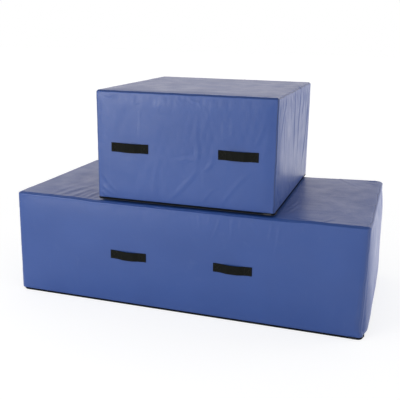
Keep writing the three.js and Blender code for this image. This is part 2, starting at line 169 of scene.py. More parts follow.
def ripple(u, v, seed, count, shortest, longest, angle=0, spread=math.pi):
    """Smooth irregular waves of about unit height, mostly running across the given angle."""
    draw = np.random.default_rng(seed)
    total = np.zeros_like(u)
    for _ in range(count):
        length = shortest * (longest / shortest) ** draw.random()
        heading = angle + spread * (draw.random() - 0.5)
        phase = FULL_TURN * draw.random()
        along = u * math.cos(heading) + v * math.sin(heading)
        total += np.sin(FULL_TURN * along / length + phase) * (length / longest) ** RIPPLE_POWER
    return total / math.sqrt(count / 2)


# The long block's ends swell out over the zip at their foot, most of all beside the front corner
FOOT_SWELL = 17 * MM
FOOT_SWELL_RAMP = 100 * MM
FOOT_SWELL_SHELF = 9 * MM
FOOT_SWELL_RISE = 230 * MM


def foot_swell(prefix, face, a, b):
    if prefix != "lower" or face not in ("left", "right"):
        return np.zeros_like(a)
    edge = edge_of(BLOCKS[prefix], Y)
    inside = np.clip((edge - np.abs(a)) / FOOT_SWELL_RAMP, 0, 1)
    level = np.maximum(b - HEM_LEVEL, 0)
    rise = smooth(level / FOOT_SWELL_SHELF) * np.exp(-level / FOOT_SWELL_RISE)
    return FOOT_SWELL * (1 - (1 - inside) ** CROWN_POWER) * rise


# The upright corners of the long block's right end are rounder toward their foot
CORNER_EASE = 30 * MM
CORNER_EASE_SHELF = 25 * MM
CORNER_EASE_RISE = 300 * MM


def ease_corners(prefix, point):
    """Draws points near the upright corners in onto a rounder corner."""
    if prefix != "lower":
        return
    block = BLOCKS[prefix]
    level = np.maximum(point[..., Z] - HEM_LEVEL - TAPE_UNDER_HEM, 0)
    rise = smooth(level / CORNER_EASE_SHELF) * np.exp(-level / CORNER_EASE_RISE)
    at_right = np.clip(np.sign(point[..., X]), 0, 1)
    radius = block["radii"][X] + CORNER_EASE * rise * at_right
    past = [np.maximum(radius - seam_plane(block, axis) + np.abs(point[..., axis]), 0) for axis in (X, Y)]
    drawn_share = 1 - radius / np.maximum(np.hypot(*past), radius)
    for axis, part in zip((X, Y), past):
        point[..., axis] -= np.sign(point[..., axis]) * part * drawn_share


# Puckers along each seam: how many to a metre, their height and how far they reach, and as shares
# of the seam, where they are strongest and how narrow that peak is
PUCKERS = {
    ("lower", "top_front"): (60, 0.8 * MM, 22 * MM, 0.66, 0.17),
    ("upper", "top_front"): (60, 0.3 * MM, 9 * MM, 0.5, 0.8),
    ("upper", "top_right"): (44, 1.3 * MM, 50 * MM, 0.6, 0.8),
    ("upper", "front_right"): (26, 0.9 * MM, 40 * MM, 0.4, 0.8),
    ("lower", "front_right"): (20, 0.8 * MM, 50 * MM, 0.6, 0.8),
}
PLAIN_PUCKERS = (30, 0.8 * MM, 24 * MM, 0.5, 0.8)
PUCKER_WIDTHS = (5 * MM, 12 * MM)
PUCKER_SPREAD = 50 * MM
PUCKER_REACHES = 5  # beyond so many reaches from a seam they are too low to count
PUCKER_HEIGHT_SHARES = (-0.4, 1.1)
PUCKER_NEAREST_SHARE = 0.25
PUCKER_REACH_SHARE = 1.2
PUCKER_SLANT = 0.5
PUCKER_FALL_POWER = 1.3
SEAM_WANDER = 0.2  # radians that a seam strays up or down its rounded edge
SEAM_WANDER_WAVES = (9, 45 * MM, 320 * MM, 0, 0)  # number, shortest, longest, angle, spread
SEAM_CALM_END = 45 * MM


def seam_ends(block, seam):
    if seam.startswith("top"):
        half = edge_of(block, Y if seam in ("top_left", "top_right") else X)
        return -half, half
    return HEM_LEVEL, edge_of(block, Z)


def seam_seed(prefix, seam):
    names = sorted({name for face in FACES.values() for name in face["seams"] if name})
    return BLOCKS[prefix]["seed"] * 100 + names.index(seam)


def seam_fade(block, seam, along):
    low, high = seam_ends(block, seam)
    return smooth(np.minimum(along - low, high - along) / SEAM_CALM_END)


def seam_wander(prefix, seam, along):
    block = BLOCKS[prefix]
    wave = ripple(along, np.zeros_like(along), seam_seed(prefix, seam), *SEAM_WANDER_WAVES)
    return SEAM_WANDER * np.tanh(wave) * seam_fade(block, seam, along)


def pucker_relief(prefix, seam, along, inside):
    """Height of the small gathers that the stitching pulls into the cloth beside a seam."""
    block = BLOCKS[prefix]
    density, tallest, farthest, peak_share, width_share = PUCKERS.get((prefix, seam), PLAIN_PUCKERS)
    draw = np.random.default_rng(seam_seed(prefix, seam) + 7)
    low, high = seam_ends(block, seam)
    total = np.zeros_like(along)
    near = inside < PUCKER_REACHES * farthest
    s, d = along[near], inside[near]
    found = np.zeros_like(s)
    for _ in range(int(density * (high - low))):
        share = draw.random()
        place = low + share * (high - low)
        width = PUCKER_WIDTHS[0] * (PUCKER_WIDTHS[1] / PUCKER_WIDTHS[0]) ** draw.random()
        strength = math.exp(-(((share - peak_share) / width_share) ** 2))
        height = tallest * draw.uniform(*PUCKER_HEIGHT_SHARES) * strength
        reach = farthest * (PUCKER_NEAREST_SHARE + PUCKER_REACH_SHARE * draw.random() ** 2)
        slant = PUCKER_SLANT * (draw.random() - 0.5)
        offset = (s - place - slant * d) / (width * (1 + d / PUCKER_SPREAD))
        found += height * np.exp(-(offset**2)) * np.exp(-((d / reach) ** PUCKER_FALL_POWER))
    total[near] = found
    return total * seam_fade(block, seam, along)


# Single creases and pleats: the places each runs through, as pairs of metres along and up its face,
# then its width and height in millimetres. Each has its hollow on the left of a path that runs down
# the face.
CREASES = {
    ("upper", "front"): (
        ((0.08, 0.24, 0.08, 0.30, 0.075, 0.40, 0.07, 0.53), 13, 1.0),
        ((-0.09, 0.02, -0.03, 0.075, 0.02, 0.13, 0.07, 0.19, 0.085, 0.24), 13, 1.2),
        ((-0.24, 0.51, -0.24, 0.43, -0.245, 0.34), 8, 0.45),
        ((-0.14, 0.02, -0.155, 0.08, -0.15, 0.16, -0.12, 0.25, -0.08, 0.29), 13, 0.72),
        ((0.12, 0.20, 0.155, 0.245, 0.183, 0.30), 11, 1.0),
        ((0.20, 0.015, 0.265, 0.11, 0.33, 0.185, 0.40, 0.25), 12, 1.0),
        ((0.10, 0.02, 0.15, 0.09, 0.21, 0.14), 10, 0.78),
        ((0.435, 0.485, 0.41, 0.41, 0.38, 0.345, 0.365, 0.24), 8, 0.45),
        ((0.065, 0.26, 0.005, 0.255, -0.055, 0.243), 12, 0.8),
        ((0.215, 0.47, 0.213, 0.35), 6, 0.33),
        ((0.263, 0.51, 0.263, 0.41, 0.29, 0.365), 7, 0.39),
        ((0.02, 0.58, 0.05, 0.56, 0.085, 0.55, 0.105, 0.505), 6, 1.17),
        ((-0.035, 0.585, -0.02, 0.56, 0.0, 0.545), 5, 0.65),
        ((-0.15, 0.56, -0.148, 0.50), 5, 0.65),
        ((-0.24, 0.58, -0.242, 0.555), 5, 0.65),
        ((0.138, 0.456, 0.13, 0.506, 0.097, 0.548), 7, 0.52),
        ((-0.294, 0.556, -0.26, 0.535, -0.23, 0.541), 6, 0.78),
        ((-0.126, 0.55, -0.133, 0.5, -0.075, 0.495), 7, 0.52),
        ((-0.385, 0.58, -0.40, 0.557, -0.44, 0.558, -0.465, 0.575), 7, 1.2),
        ((-0.475, 0.085, -0.432, 0.054, -0.364, 0.018), 9, 1.3),
        ((-0.47, 0.15, -0.41, 0.08, -0.345, 0.025), 9, 0.9),
        ((-0.475, 0.045, -0.445, 0.026, -0.41, 0.015), 7, 1.6),
    ),
    ("upper", "right"): (
        ((-0.43, 0.59, -0.45, 0.54, -0.475, 0.46), 8, 1.6),
        ((-0.30, 0.59, -0.325, 0.55, -0.385, 0.50, -0.42, 0.42, -0.46, 0.33), 11, 2.6),
        ((-0.345, 0.53, -0.358, 0.43, -0.34, 0.33, -0.32, 0.25), 9, 2.2),
        ((-0.25, 0.585, -0.26, 0.50, -0.27, 0.42), 8, 1.6),
        ((-0.18, 0.59, -0.18, 0.51, -0.17, 0.40), 9, 2.0),
        ((-0.10, 0.59, -0.13, 0.50, -0.15, 0.42), 8, 1.6),
        ((-0.025, 0.59, -0.075, 0.52, -0.06, 0.31, -0.035, 0.17), 13, 3.0),
        ((0.03, 0.59, 0.01, 0.50, 0.0, 0.43), 8, 1.4),
        ((0.105, 0.59, 0.09, 0.52, 0.065, 0.39, 0.065, 0.25, 0.04, 0.15), 13, 3.0),
        ((0.197, 0.59, 0.205, 0.51, 0.167, 0.425, 0.142, 0.355), 11, 2.6),
        ((0.26, 0.59, 0.25, 0.51, 0.235, 0.46), 8, 1.6),
        ((0.303, 0.57, 0.285, 0.48, 0.28, 0.42), 9, 1.8),
        ((0.365, 0.58, 0.368, 0.44, 0.34, 0.345, 0.296, 0.225, 0.24, 0.11, 0.225, 0.06), 13, 3.4),
        ((0.44, 0.58, 0.43, 0.40, 0.40, 0.25, 0.37, 0.12), 11, 2.6),
        ((-0.195, 0.125, -0.13, 0.077, -0.105, 0.05), 7, 1.0),
        ((-0.015, 0.165, 0.03, 0.11, 0.065, 0.075), 7, 1.0),
    ),
    ("upper", "top"): (
        ((-0.42, -0.44, -0.20, -0.455, 0.05, -0.45), 9, 0.6),
        ((0.45, -0.30, 0.20, -0.28, -0.10, -0.29), 9, 0.4),
        ((0.40, 0.10, 0.10, 0.14, -0.20, 0.12), 11, 0.5),
    ),
    ("lower", "top"): (
        ((0.712, 0.485, 0.753, 0.435, 0.807, 0.352, 0.866, 0.275), 9, 1.8),
        ((0.895, 0.45, 0.933, 0.46, 0.955, 0.475), 8, 2.2),
        ((0.884, 0.416, 0.931, 0.39, 0.955, 0.385), 9, 1.8),
        ((0.747, -0.465, 0.778, -0.43, 0.807, -0.366), 9, 1.2),
        ((0.60, -0.44, 0.66, -0.455, 0.75, -0.46), 10, 1.2),
        ((0.70, 0.03, 0.776, 0.027, 0.83, 0.031), 10, 0.6),
        ((-0.56, -0.473, -0.562, -0.39, -0.54, -0.25), 14, 2.4),
        ((-0.53, -0.47, -0.528, -0.44, -0.51, -0.38), 9, 1.6),
        ((-0.605, -0.475, -0.60, -0.387, -0.58, -0.24), 13, 1.4),
        ((-0.65, -0.475, -0.636, -0.39, -0.60, -0.20), 16, 2.0),
        ((-0.729, -0.475, -0.706, -0.369, -0.645, -0.14), 18, 1.7),
        ((-0.781, -0.475, -0.776, -0.38, -0.74, -0.16), 18, 1.2),
        ((0.532, -0.251, 0.553, -0.192, 0.561, -0.11), 9, 1.6),
        ((0.53, -0.355, 0.562, -0.302, 0.585, -0.188), 9, 1.4),
    ),
    ("lower", "front"): (
        ((0.044, 0.58, 0.05, 0.51), 6, 0.8),
        ((0.105, 0.58, 0.114, 0.48), 6, 0.9),
        ((0.165, 0.58, 0.16, 0.52), 6, 0.8),
        ((0.222, 0.58, 0.197, 0.488, 0.157, 0.415), 7, 1.0),
        ((0.289, 0.58, 0.287, 0.43), 7, 1.2),
        ((0.335, 0.58, 0.33, 0.51), 6, 0.8),
        ((0.381, 0.58, 0.422, 0.528, 0.45, 0.477), 7, 1.2),
        ((0.42, 0.58, 0.464, 0.465), 7, 1.1),
        ((0.498, 0.58, 0.482, 0.468), 7, 1.2),
        ((0.536, 0.58, 0.529, 0.46, 0.507, 0.376), 7, 1.3),
        ((0.587, 0.58, 0.603, 0.509), 7, 1.0),
        ((0.662, 0.58, 0.653, 0.528), 7, 0.9),
        ((-0.069, 0.5, -0.063, 0.388), 8, 0.6),
        ((-0.04, 0.58, 0.044, 0.513), 8, 0.7),
        ((-0.55, 0.58, -0.53, 0.50), 9, 0.5),
        ((-0.80, 0.50, -0.78, 0.36), 11, 0.5),
    ),
}
CREASE_SEAM_MARGIN = 10 * MM
CREASE_REACH = 4  # widths to either side of a crease's path
HOLLOW_SHARE = 0.5
HOLLOW_WIDTHS = 1.5
CREASE_RISE_SHARE = 0.22
CREASE_FALL_SHARE = 0.5
PATH_RUNS = 6


def smooth_path(points):
    """A curve through the points, as short straight runs."""
    knots = np.array([points[0], *points, points[-1]])
    t = np.linspace(0, 1, PATH_RUNS, endpoint=False)[:, None]
    runs = []
    for before, start, end, after in zip(knots, knots[1:], knots[2:], knots[3:]):
        bend = 2 * before - 5 * start + 4 * end - after
        twist = 3 * start - before - 3 * end + after
        runs.append(start + ((end - before) * t + bend * t**2 + twist * t**3) / 2)
    return np.concatenate([*runs, knots[-1:]])


def beside_path(path, a, b):
    """How far each place lies to the side of a path, and how far along it, as a share."""
    nearest = np.full_like(a, np.inf)
    offset, share = np.zeros_like(a), np.zeros_like(a)
    for number, (start, end) in enumerate(zip(path, path[1:])):
        run = end - start
        part = np.clip(((a - start[0]) * run[0] + (b - start[1]) * run[1]) / (run @ run), 0, 1)
        off_a, off_b = a - start[0] - run[0] * part, b - start[1] - run[1] * part
        distance = np.hypot(off_a, off_b)
        closer = distance < nearest
        side = np.sign(off_a * run[1] - off_b * run[0])
        nearest = np.where(closer, distance, nearest)
        offset = np.where(closer, side * distance, offset)
        share = np.where(closer, (number + part) / (len(path) - 1), share)
    return offset, share


def crease_relief(prefix, face, a, b):
    total = np.zeros_like(a)
    for points, width, height in CREASES.get((prefix, face), ()):
        path = smooth_path(np.reshape(points, (-1, 2)))
        width, height = width * MM, height * MM
        low, high = path.min(axis=0) - CREASE_REACH * width, path.max(axis=0) + CREASE_REACH * width
        near = (a > low[0]) & (a < high[0]) & (b > low[1]) & (b < high[1])
        offset, share = beside_path(path, a[near], b[near])
        taper = smooth(share / CREASE_RISE_SHARE) * smooth((1 - share) / CREASE_FALL_SHARE)
        ridge = np.exp(-((offset / width) ** 2))
        hollow = np.exp(-((offset / width - HOLLOW_WIDTHS) ** 2))
        total[near] += height * taper * (ridge - HOLLOW_SHARE * hollow)
    return total


HANDLE_CALM_REACH = 35 * MM


def handle_calm(face, a, b):
    """Zero where a handle lies on the face, rising to one away from it."""
    if face not in ("front", "back"):
        return np.ones_like(a)
    beside = np.maximum(np.abs(np.abs(a) - HANDLE_SPACING / 2) - HANDLE_LENGTH / 2, 0)
    above = np.maximum(np.abs(b - HANDLE_HEIGHT) - HANDLE_WIDTH / 2, 0)
    return 1 - np.exp(-((np.hypot(beside, above) / HANDLE_CALM_REACH) ** 2))


# Broad waves of each face: height, number, shortest, longest, angle that they run across, its spread
BROAD_WRINKLES = {
    ("upper", "front"): (0.8 * MM, 14, 35 * MM, 300 * MM, 0.35, 2.2),
    ("upper", "top"): (0.45 * MM, 14, 60 * MM, 300 * MM, 1.57, 0.5),
    ("upper", "right"): (0.8 * MM, 14, 40 * MM, 200 * MM, -0.15, 0.3),
    ("lower", "front"): (0.7 * MM, 14, 160 * MM, 700 * MM, 0.2, 1.2),
    ("lower", "top"): (0.6 * MM, 14, 80 * MM, 450 * MM, 1.35, 0.7),
    ("lower", "right"): (1.2 * MM, 14, 120 * MM, 400 * MM, 0.2, 1.0),
}
PLAIN_WRINKLES = (0.8 * MM, 14, 70 * MM, 400 * MM, 0.3, 1.6)
# How much of the broad waves shows from place to place
UNEVEN_WAVES = (6, 300 * MM, 900 * MM)
UNEVEN_MEAN_SHARE = 0.6
UNEVEN_SPREAD_SHARE = 0.5
WRINKLE_MARGIN = 60 * MM
HEM_MARGIN = 50 * MM
# The share of the groove that a seam shows: some lie so smooth that they hardly show
GROOVE_SHARES = {
    ("lower", "front_right"): 0.2, ("lower", "front_left"): 0.25, ("lower", "top_right"): 0.25,
    ("lower", "back_right"): 0.25, ("lower", "top_front"): 0.6, ("upper", "top_right"): 1.8,
}
SEAM_GROOVE = 1.2 * MM
SEAM_GROOVE_WIDTH = 2.4 * MM
SEAM_ROLL = 0.9 * MM
SEAM_ROLL_PLACE = 9 * MM
SEAM_ROLL_WIDTH = 6 * MM

# The long block's top stands a little higher at its free back right corner, and sags in front of the
# block upon it; its front left corner is pulled outward, most of all at the foot. The places say
# where each begins along an axis and how far on it is whole: right, back and up unless named.
CORNER_RISE = 12 * MM
CORNER_RISE_PLACES = ((0.5, 0.45), (-0.3, 0.7), (0.2, 0.38))
FOOT_SAG = 6 * MM
FOOT_SAG_INNER = 0.2
FOOT_SAG_OUTER = 0.12
FOOT_SAG_UP = (0.35, 0.22)
FOOT_SAG_FORWARD = (-0.5, 1)
CORNER_PULL = 13 * MM
CORNER_PULL_LEFT = (0.7, 0.28)
CORNER_PULL_FORWARD = (0.1, 0.35)
CORNER_PULL_LOST_SHARE = 0.54

# How much of the cloth simulation's settling each face shows
SETTLED_SHARES = {("upper", "front"): 0.35, ("lower", "front"): 0.3, ("upper", "right"): 0.9}
PLAIN_SETTLED_SHARE = 0.6
PAST_LAST_CELL = 1.001
settled_cloth = {}  # by block and face, what the cloth simulation adds: places and heights


def settled_relief(prefix, face, a, b):
    if (prefix, face) not in settled_cloth:
        return np.zeros_like(a)
    columns, rows, heights = settled_cloth[prefix, face]
    i, j = (np.clip((at - lines[0]) / (lines[1] - lines[0]), 0, len(lines) - PAST_LAST_CELL)
            for at, lines in ((a, columns), (b, rows)))
    left, low = i.astype(int), j.astype(int)
    s, t = smooth(i - left), smooth(j - low)
    below = heights[low, left] * (1 - s) + heights[low, left + 1] * s
    above = heights[low + 1, left] * (1 - s) + heights[low + 1, left + 1] * s
    shown_share = SETTLED_SHARES.get((prefix, face), PLAIN_SETTLED_SHARE)
    return shown_share * (below * (1 - t) + above * t)


def groove_share(prefix, seam):
    return GROOVE_SHARES.get((prefix, seam), 1)


def relief(prefix, face, a, b, distances):
    """How far the cloth stands off the plain surface, at distances from the face's four sides."""
    block = BLOCKS[prefix]
    seams = FACES[face]["seams"]
    nearest = np.full_like(a, 1.0)
    total = settled_relief(prefix, face, a, b)
    groove = np.zeros_like(a)
    for side, (seam, distance) in enumerate(zip(seams, distances)):
        if seam is None:
            continue
        nearest = np.minimum(nearest, distance)
        total += pucker_relief(prefix, seam, b if side < 2 else a, distance)
        dip = np.exp(-((distance / SEAM_GROOVE_WIDTH) ** 2))
        groove = np.maximum(groove, groove_share(prefix, seam) * dip)
    height, *waves = BROAD_WRINKLES.get((prefix, face), PLAIN_WRINKLES)
    seed = block["seed"] * 10 + list(FACES).index(face)
    broad = ripple(a, b, seed, *waves)
    where = UNEVEN_MEAN_SHARE + UNEVEN_SPREAD_SHARE * ripple(a, b, seed + 5, *UNEVEN_WAVES)
    inner = smooth(nearest / WRINKLE_MARGIN)
    if seams[2] is None:
        inner = inner * smooth((b - HEM_LEVEL) / HEM_MARGIN)
    total += height * broad * where * inner
    total += crease_relief(prefix, face, a, b) * smooth(nearest / CREASE_SEAM_MARGIN)
    total *= handle_calm(face, a, b)
    roll = SEAM_ROLL * np.exp(-(((nearest - SEAM_ROLL_PLACE) / SEAM_ROLL_WIDTH) ** 2))
    return total - SEAM_GROOVE * groove + roll


def seam_leans(prefix, face, a, b):
    """The lean of the cloth at each of the face's four sides, which strays a little along a seam."""
    leans = []
    for side, seam in enumerate(FACES[face]["seams"]):
        if seam is None:
            leans.append(np.zeros_like(a))
            continue
        own = 1 if face == "top" or (side < 2 and face in ("front", "back")) else -1
        leans.append(EIGHTH_TURN + own * seam_wander(prefix, seam, b if side < 2 else a))
    return leans


def whole_after(at, start, run):
    return smooth((at - start) / run)


def stack_shifts(point):
    """How far the long block's cover has moved along X and Z where it is stretched and pressed."""
    x, y, z = (point[..., axis] for axis in (X, Y, Z))
    rise = CORNER_RISE
    for at, places in zip((x, y, z), CORNER_RISE_PLACES):
        rise = rise * whole_after(at, *places)
    past_x = np.abs(x - STACK_SHIFT) - BLOCK_WIDTH / 2
    past_y = np.abs(y - STACK_SET_BACK) - BLOCK_WIDTH / 2
    under_edge = 1 - smooth(-np.maximum(past_x, past_y) / FOOT_SAG_INNER)
    beside = np.exp(-((np.maximum(past_x, 0) / FOOT_SAG_OUTER) ** 2))
    sag = FOOT_SAG * under_edge * beside * whole_after(z, *FOOT_SAG_UP) * whole_after(-y, *FOOT_SAG_FORWARD)
    pull = CORNER_PULL * whole_after(-x, *CORNER_PULL_LEFT) * whole_after(-y, *CORNER_PULL_FORWARD)
    return -pull * (1 - CORNER_PULL_LOST_SHARE * z / BLOCK_HEIGHT), rise - sag


def cover_points(prefix, face, a, b, share_a=0, share_b=0, sink=0, plain=False):
    """Points on a cover face, the outward directions there, and the distances to its sides.

    The shares say how far the cloth has turned toward the seams at either side.
    """
    block = BLOCKS[prefix]
    run, rise, out = FACES[face]["axes"]
    sign = FACES[face]["sign"]
    left, right, low, high = seam_leans(prefix, face, a, b)
    lean_a = np.where(share_a < 0, share_a * left, share_a * right)
    lean_b = np.where(share_b < 0, share_b * low, share_b * high)
    lean = np.zeros(a.shape + (3,))
    lean[..., out] = sign
    lean[..., run] = np.tan(lean_a)
    lean[..., rise] = np.tan(lean_b)
    lean /= np.linalg.norm(lean, axis=-1, keepdims=True)
    radii = np.array(block["radii"])
    point = lean * radii
    point[..., run] += a
    point[..., rise] += b
    point[..., out] += sign * edge_of(block, out)
    ease_corners(prefix, point)
    share = crown_share(block, run, a) * crown_share(block, rise, b)
    swell = block["crowns"][out] * share
    if not plain:
        swell = swell + foot_swell(prefix, face, a, b)
    point[..., out] += sign * swell
    distances = (
        a - low_edge(block, run) + radii[run] * (left + np.minimum(lean_a, 0)),
        edge_of(block, run) - a + radii[run] * (right - np.maximum(lean_a, 0)),
        b - low_edge(block, rise) + radii[rise] * (low + np.minimum(lean_b, 0)),
        edge_of(block, rise) - b + radii[rise] * (high - np.maximum(lean_b, 0)),
    )
    lift = -sink
    if not plain:
        lift = lift + relief(prefix, face, a, b, distances)
    point += lean * np.broadcast_to(lift, a.shape)[..., None]
    if prefix == "lower" and not plain:
        along, up = stack_shifts(point)
        point[..., X] += along
        point[..., Z] += up
    return point, lean, distances


# How the cloth settles: each face is a sheet pinned along its seams and round its handles, with a
# little spare cloth and the foam's push behind it
SHEET_GRID = 17 * MM
SHEET_FRAMES = 20
SHEET_CALM_SHARE = 0.05  # the sheet is held where less than this share of the waves shows
SHEET_GRAVITY_SHARE = 0.15
SHEET_CLOTH = {
    "quality": 6, "mass": 0.3, "tension_stiffness": 12, "compression_stiffness": 12,
    "shear_stiffness": 4, "bending_stiffness": 0.6, "air_damping": 2, "shrink_min": -0.005,
    "use_pressure": True, "uniform_pressure_force": 0.6, "vertex_group_mass": "held",
}
SHEET_UNEVEN = 0.2 * MM
SHEET_UNEVEN_WAVES = (20, 60 * MM, 260 * MM)
SHEET_RISE = 1.8 * MM
SHEET_DIP = 1.0 * MM


def slack_sheet(prefix, face):
    block = BLOCKS[prefix]
    run, rise, _ = FACES[face]["axes"]
    spans = [(low_edge(block, axis), edge_of(block, axis)) for axis in (run, rise)]
    columns, rows = [np.linspace(low, high, round((high - low) / SHEET_GRID) + 1) for low, high in spans]
    a, b = np.meshgrid(columns, rows)
    points, lean, _ = cover_points(prefix, face, a, b, plain=True)
    uneven = ripple(a, b, block["seed"] * 3 + list(FACES).index(face), *SHEET_UNEVEN_WAVES)
    points += lean * (SHEET_UNEVEN * uneven)[..., None]
    faces = grid_faces(face, len(rows), len(columns))
    sheet = smooth_mesh(f"{prefix}_{face}_sheet", points.reshape(-1, 3), faces)
    edge = np.minimum.reduce([a - columns[0], columns[-1] - a, b - rows[0], rows[-1] - b])
    held = (edge < SHEET_GRID / 2) | (handle_calm(face, a, b) < SHEET_CALM_SHARE)
    group = sheet.vertex_groups.new(name="held")
    group.add([int(i) for i in np.flatnonzero(held)], 1.0, "REPLACE")
    cloth = sheet.modifiers.new("cloth", "CLOTH").settings
    for name, value in SHEET_CLOTH.items():
        setattr(cloth, name, value)
    cloth.effector_weights.gravity = SHEET_GRAVITY_SHARE
    return sheet, columns, rows, points, lean


def settle_cloth():
    """Runs all the sheets together and keeps how far each has moved in or out."""
    sheets = {}
    for prefix in BLOCKS:
        for face in FACES:
            sheets[prefix, face] = slack_sheet(prefix, face)
    scene = bpy.context.scene
    for number in range(1, SHEET_FRAMES + 1):
        scene.frame_set(number)
    graph = bpy.context.evaluated_depsgraph_get()
    for key, (sheet, columns, rows, points, lean) in sheets.items():
        mesh = sheet.evaluated_get(graph).data
        moved = np.empty(len(mesh.vertices) * 3, dtype=np.float32)
        mesh.vertices.foreach_get("co", moved)
        heights = ((moved.reshape(points.shape) - points) * lean).sum(-1)
        heights = np.where(heights > 0, SHEET_RISE * np.tanh(heights / SHEET_RISE),
                           SHEET_DIP * np.tanh(heights / SHEET_DIP))
        settled_cloth[key] = (columns, rows, np.round(heights, 6))
    for sheet, *_ in sheets.values():
        mesh = sheet.data
        bpy.data.objects.remove(sheet)
        bpy.data.meshes.remove(mesh)
    scene.frame_set(1)


# Meshes
GRADING = 1.18  # each step by so much longer than the one before it


def graded(low, high, fine, coarse):
    """Places from low to high, close together at both ends and further apart between them."""
    half = (high - low) / 2
    places = [0.0]
    step = fine
    while places[-1] + step < half:
        places.append(places[-1] + step)
        step = min(step * GRADING, coarse)
    places = np.array(places) * (half / (places[-1] + step / 2))
    return np.concatenate([low + places, (high - places)[::-1]])


def grid_faces(face, rows, columns, left_out=None):
    """The faces of a grid of points on a cover face, row by row, all turned outward."""
    spec = FACES[face]
    inward = spec["sign"] * (-1 if spec["axes"] == (X, Z, Y) else 1) < 0
    faces = []
    for j in range(rows - 1):
        for i in range(columns - 1):
            if left_out is not None and left_out[j, i]:
                continue
            low, high = j * columns + i, (j + 1) * columns + i
            quad = (low, low + 1, high + 1, high)
            faces.append(quad[::-1] if inward else quad)
    return faces


def smooth_mesh(name, points, faces, attribute=None):
    mesh = bpy.data.meshes.new(name)
    mesh.from_pydata([tuple(p) for p in points], [], [tuple(int(i) for i in f) for f in faces])
    mesh.polygons.foreach_set("use_smooth", [True] * len(mesh.polygons))
    if attribute is not None:
        cloth = mesh.attributes.new("cloth", "FLOAT_VECTOR", "POINT")
        cloth.data.foreach_set("vector", np.asarray(attribute, dtype=np.float32).ravel())
    piece = bpy.data.objects.new(name, mesh)
    bpy.context.scene.collection.objects.link(piece)
    return piece


def dressed(piece, material, prefix, nodes=()):
    """Gives a piece its material, its body and the nodes it stands for."""
    piece.data.materials.append(material)
    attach(piece, f"{prefix}_block")
    if nodes:
        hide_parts(*nodes)
    return piece


def ringed_skin(name, prefix, rings, attribute=None):
    """A skin over a block's rings of points: each joined to the next, with its two ends closed."""
    count = len(rings[0])
    faces = []
    for i in range(len(rings) - 1):
        for k in range(count):
            n = (k + 1) % count
            faces.append((i * count + k, i * count + n, (i + 1) * count + n, (i + 1) * count + k))
    faces.append(tuple(range(count))[::-1])
    faces.append(tuple((len(rings) - 1) * count + k for k in range(count)))
    points = np.concatenate(rings) + BLOCKS[prefix]["origin"]
    return turned_outward(smooth_mesh(f"{prefix}_{name}", points, faces, attribute))


def thicken(piece, thickness):
    thick = piece.modifiers.new("thickness", "SOLIDIFY")
    thick.thickness = thickness
    thick.offset = -1


def turned_outward(piece):
    mesh = bmesh.new()
    mesh.from_mesh(piece.data)
    bmesh.ops.recalc_face_normals(mesh, faces=mesh.faces)
    mesh.to_mesh(piece.data)
    mesh.free()
    return piece


# The cover's panels
FINE_SPACING = 3 * MM
SAME_PLACE = 0.01 * MM
HEM_CLEAR = 2 * MM
ALLOWANCE = (5 * MM, 2.5 * MM, 0.9 * MM)  # how far in the turned-in cloth reaches at a seam
ARC_SHARES = (1, 0.9, 0.7, 0.45, 0.2)
HEM_TURN = ((12 * MM, 1.1 * MM), (1.2 * MM, 1.1 * MM), (0, 0.9 * MM), (0, 0.3 * MM), (0.5 * MM, 0))


def side_stations(seamed, at, sign):
    """Stations from the turned-in edge of the cloth to the flat: place, share of lean, sink."""
    if not seamed:
        return [(at + up, 0, sink) for up, sink in HEM_TURN]
    turned = [(at, sign, sink) for sink in ALLOWANCE]
    return turned + [(at, sign * share, 0) for share in ARC_SHARES]


def stations(block, axis, low_seamed):
    low, high = low_edge(block, axis), edge_of(block, axis)
    start = side_stations(low_seamed, low, -1)
    end = side_stations(True, high, 1)[::-1]
    first = low if low_seamed else low + HEM_CLEAR
    flat = [(place, 0, 0) for place in graded(first, high, FINE_SPACING, block["spacings"][axis])]
    return np.array(start + flat + end)


def cover_panel(prefix, face, material):
    block = BLOCKS[prefix]
    spec = FACES[face]
    run, rise, _ = spec["axes"]
    columns = stations(block, run, True)
    rows = stations(block, rise, spec["seams"][2] is not None)
    (a, b), (share_a, share_b), sinks = (np.meshgrid(columns[:, part], rows[:, part]) for part in range(3))
    points, _, distances = cover_points(prefix, face, a, b, share_a, share_b, np.maximum(*sinks))
    # Distances from the seams for the rubbed wear and the painted groove shade; seams that hardly show are
    # set back by a groove's width so that their painted shade is fainter
    shown = [distance + (SEAM_GROOVE_WIDTH if groove_share(prefix, seam) < 1 else 0)
             for distance, seam in zip(distances, spec["seams"]) if seam]
    nearest = np.minimum.reduce(shown)
    around = EIGHTH_TURN * np.array(block["radii"])
    cloth = np.stack([a + around[run] * share_a, b + around[rise] * share_b, nearest], -1)
    folded = [np.maximum(places[:-1, 2], places[1:, 2]) > 0 for places in (rows, columns)]
    faces = grid_faces(face, len(rows), len(columns), np.logical_and.outer(*folded))
    name = f"{prefix}_{spec['node'].replace('panel', 'cover')}"
    piece = smooth_mesh(name, points.reshape(-1, 3) + block["origin"], faces, cloth.reshape(-1, 3))
    mesh = bmesh.new()
    mesh.from_mesh(piece.data)
    bmesh.ops.remove_doubles(mesh, verts=mesh.verts, dist=SAME_PLACE)
    loose = [v for v in mesh.verts if not v.link_faces]
    bmesh.ops.delete(mesh, geom=loose, context="VERTS")
    mesh.to_mesh(piece.data)
    mesh.free()
    thicken(piece, CLOTH_THICKNESS)
    return dressed(piece, material, prefix, [f"{prefix}_{spec['node']}"])


# Foam slabs, standing clear inside the cover
SLAB_STEP = 60 * MM
SLAB_EDGES = ((4 * MM, 0), (1.2 * MM, 1.2 * MM), (0, 4 * MM))  # further in, and in from the end
SLAB_RING_SHARES = (0.97, 0.8, 0.5, 0.2)
SLAB_BULGE = 0.5 * MM
CORE_RISE = 1 * MM


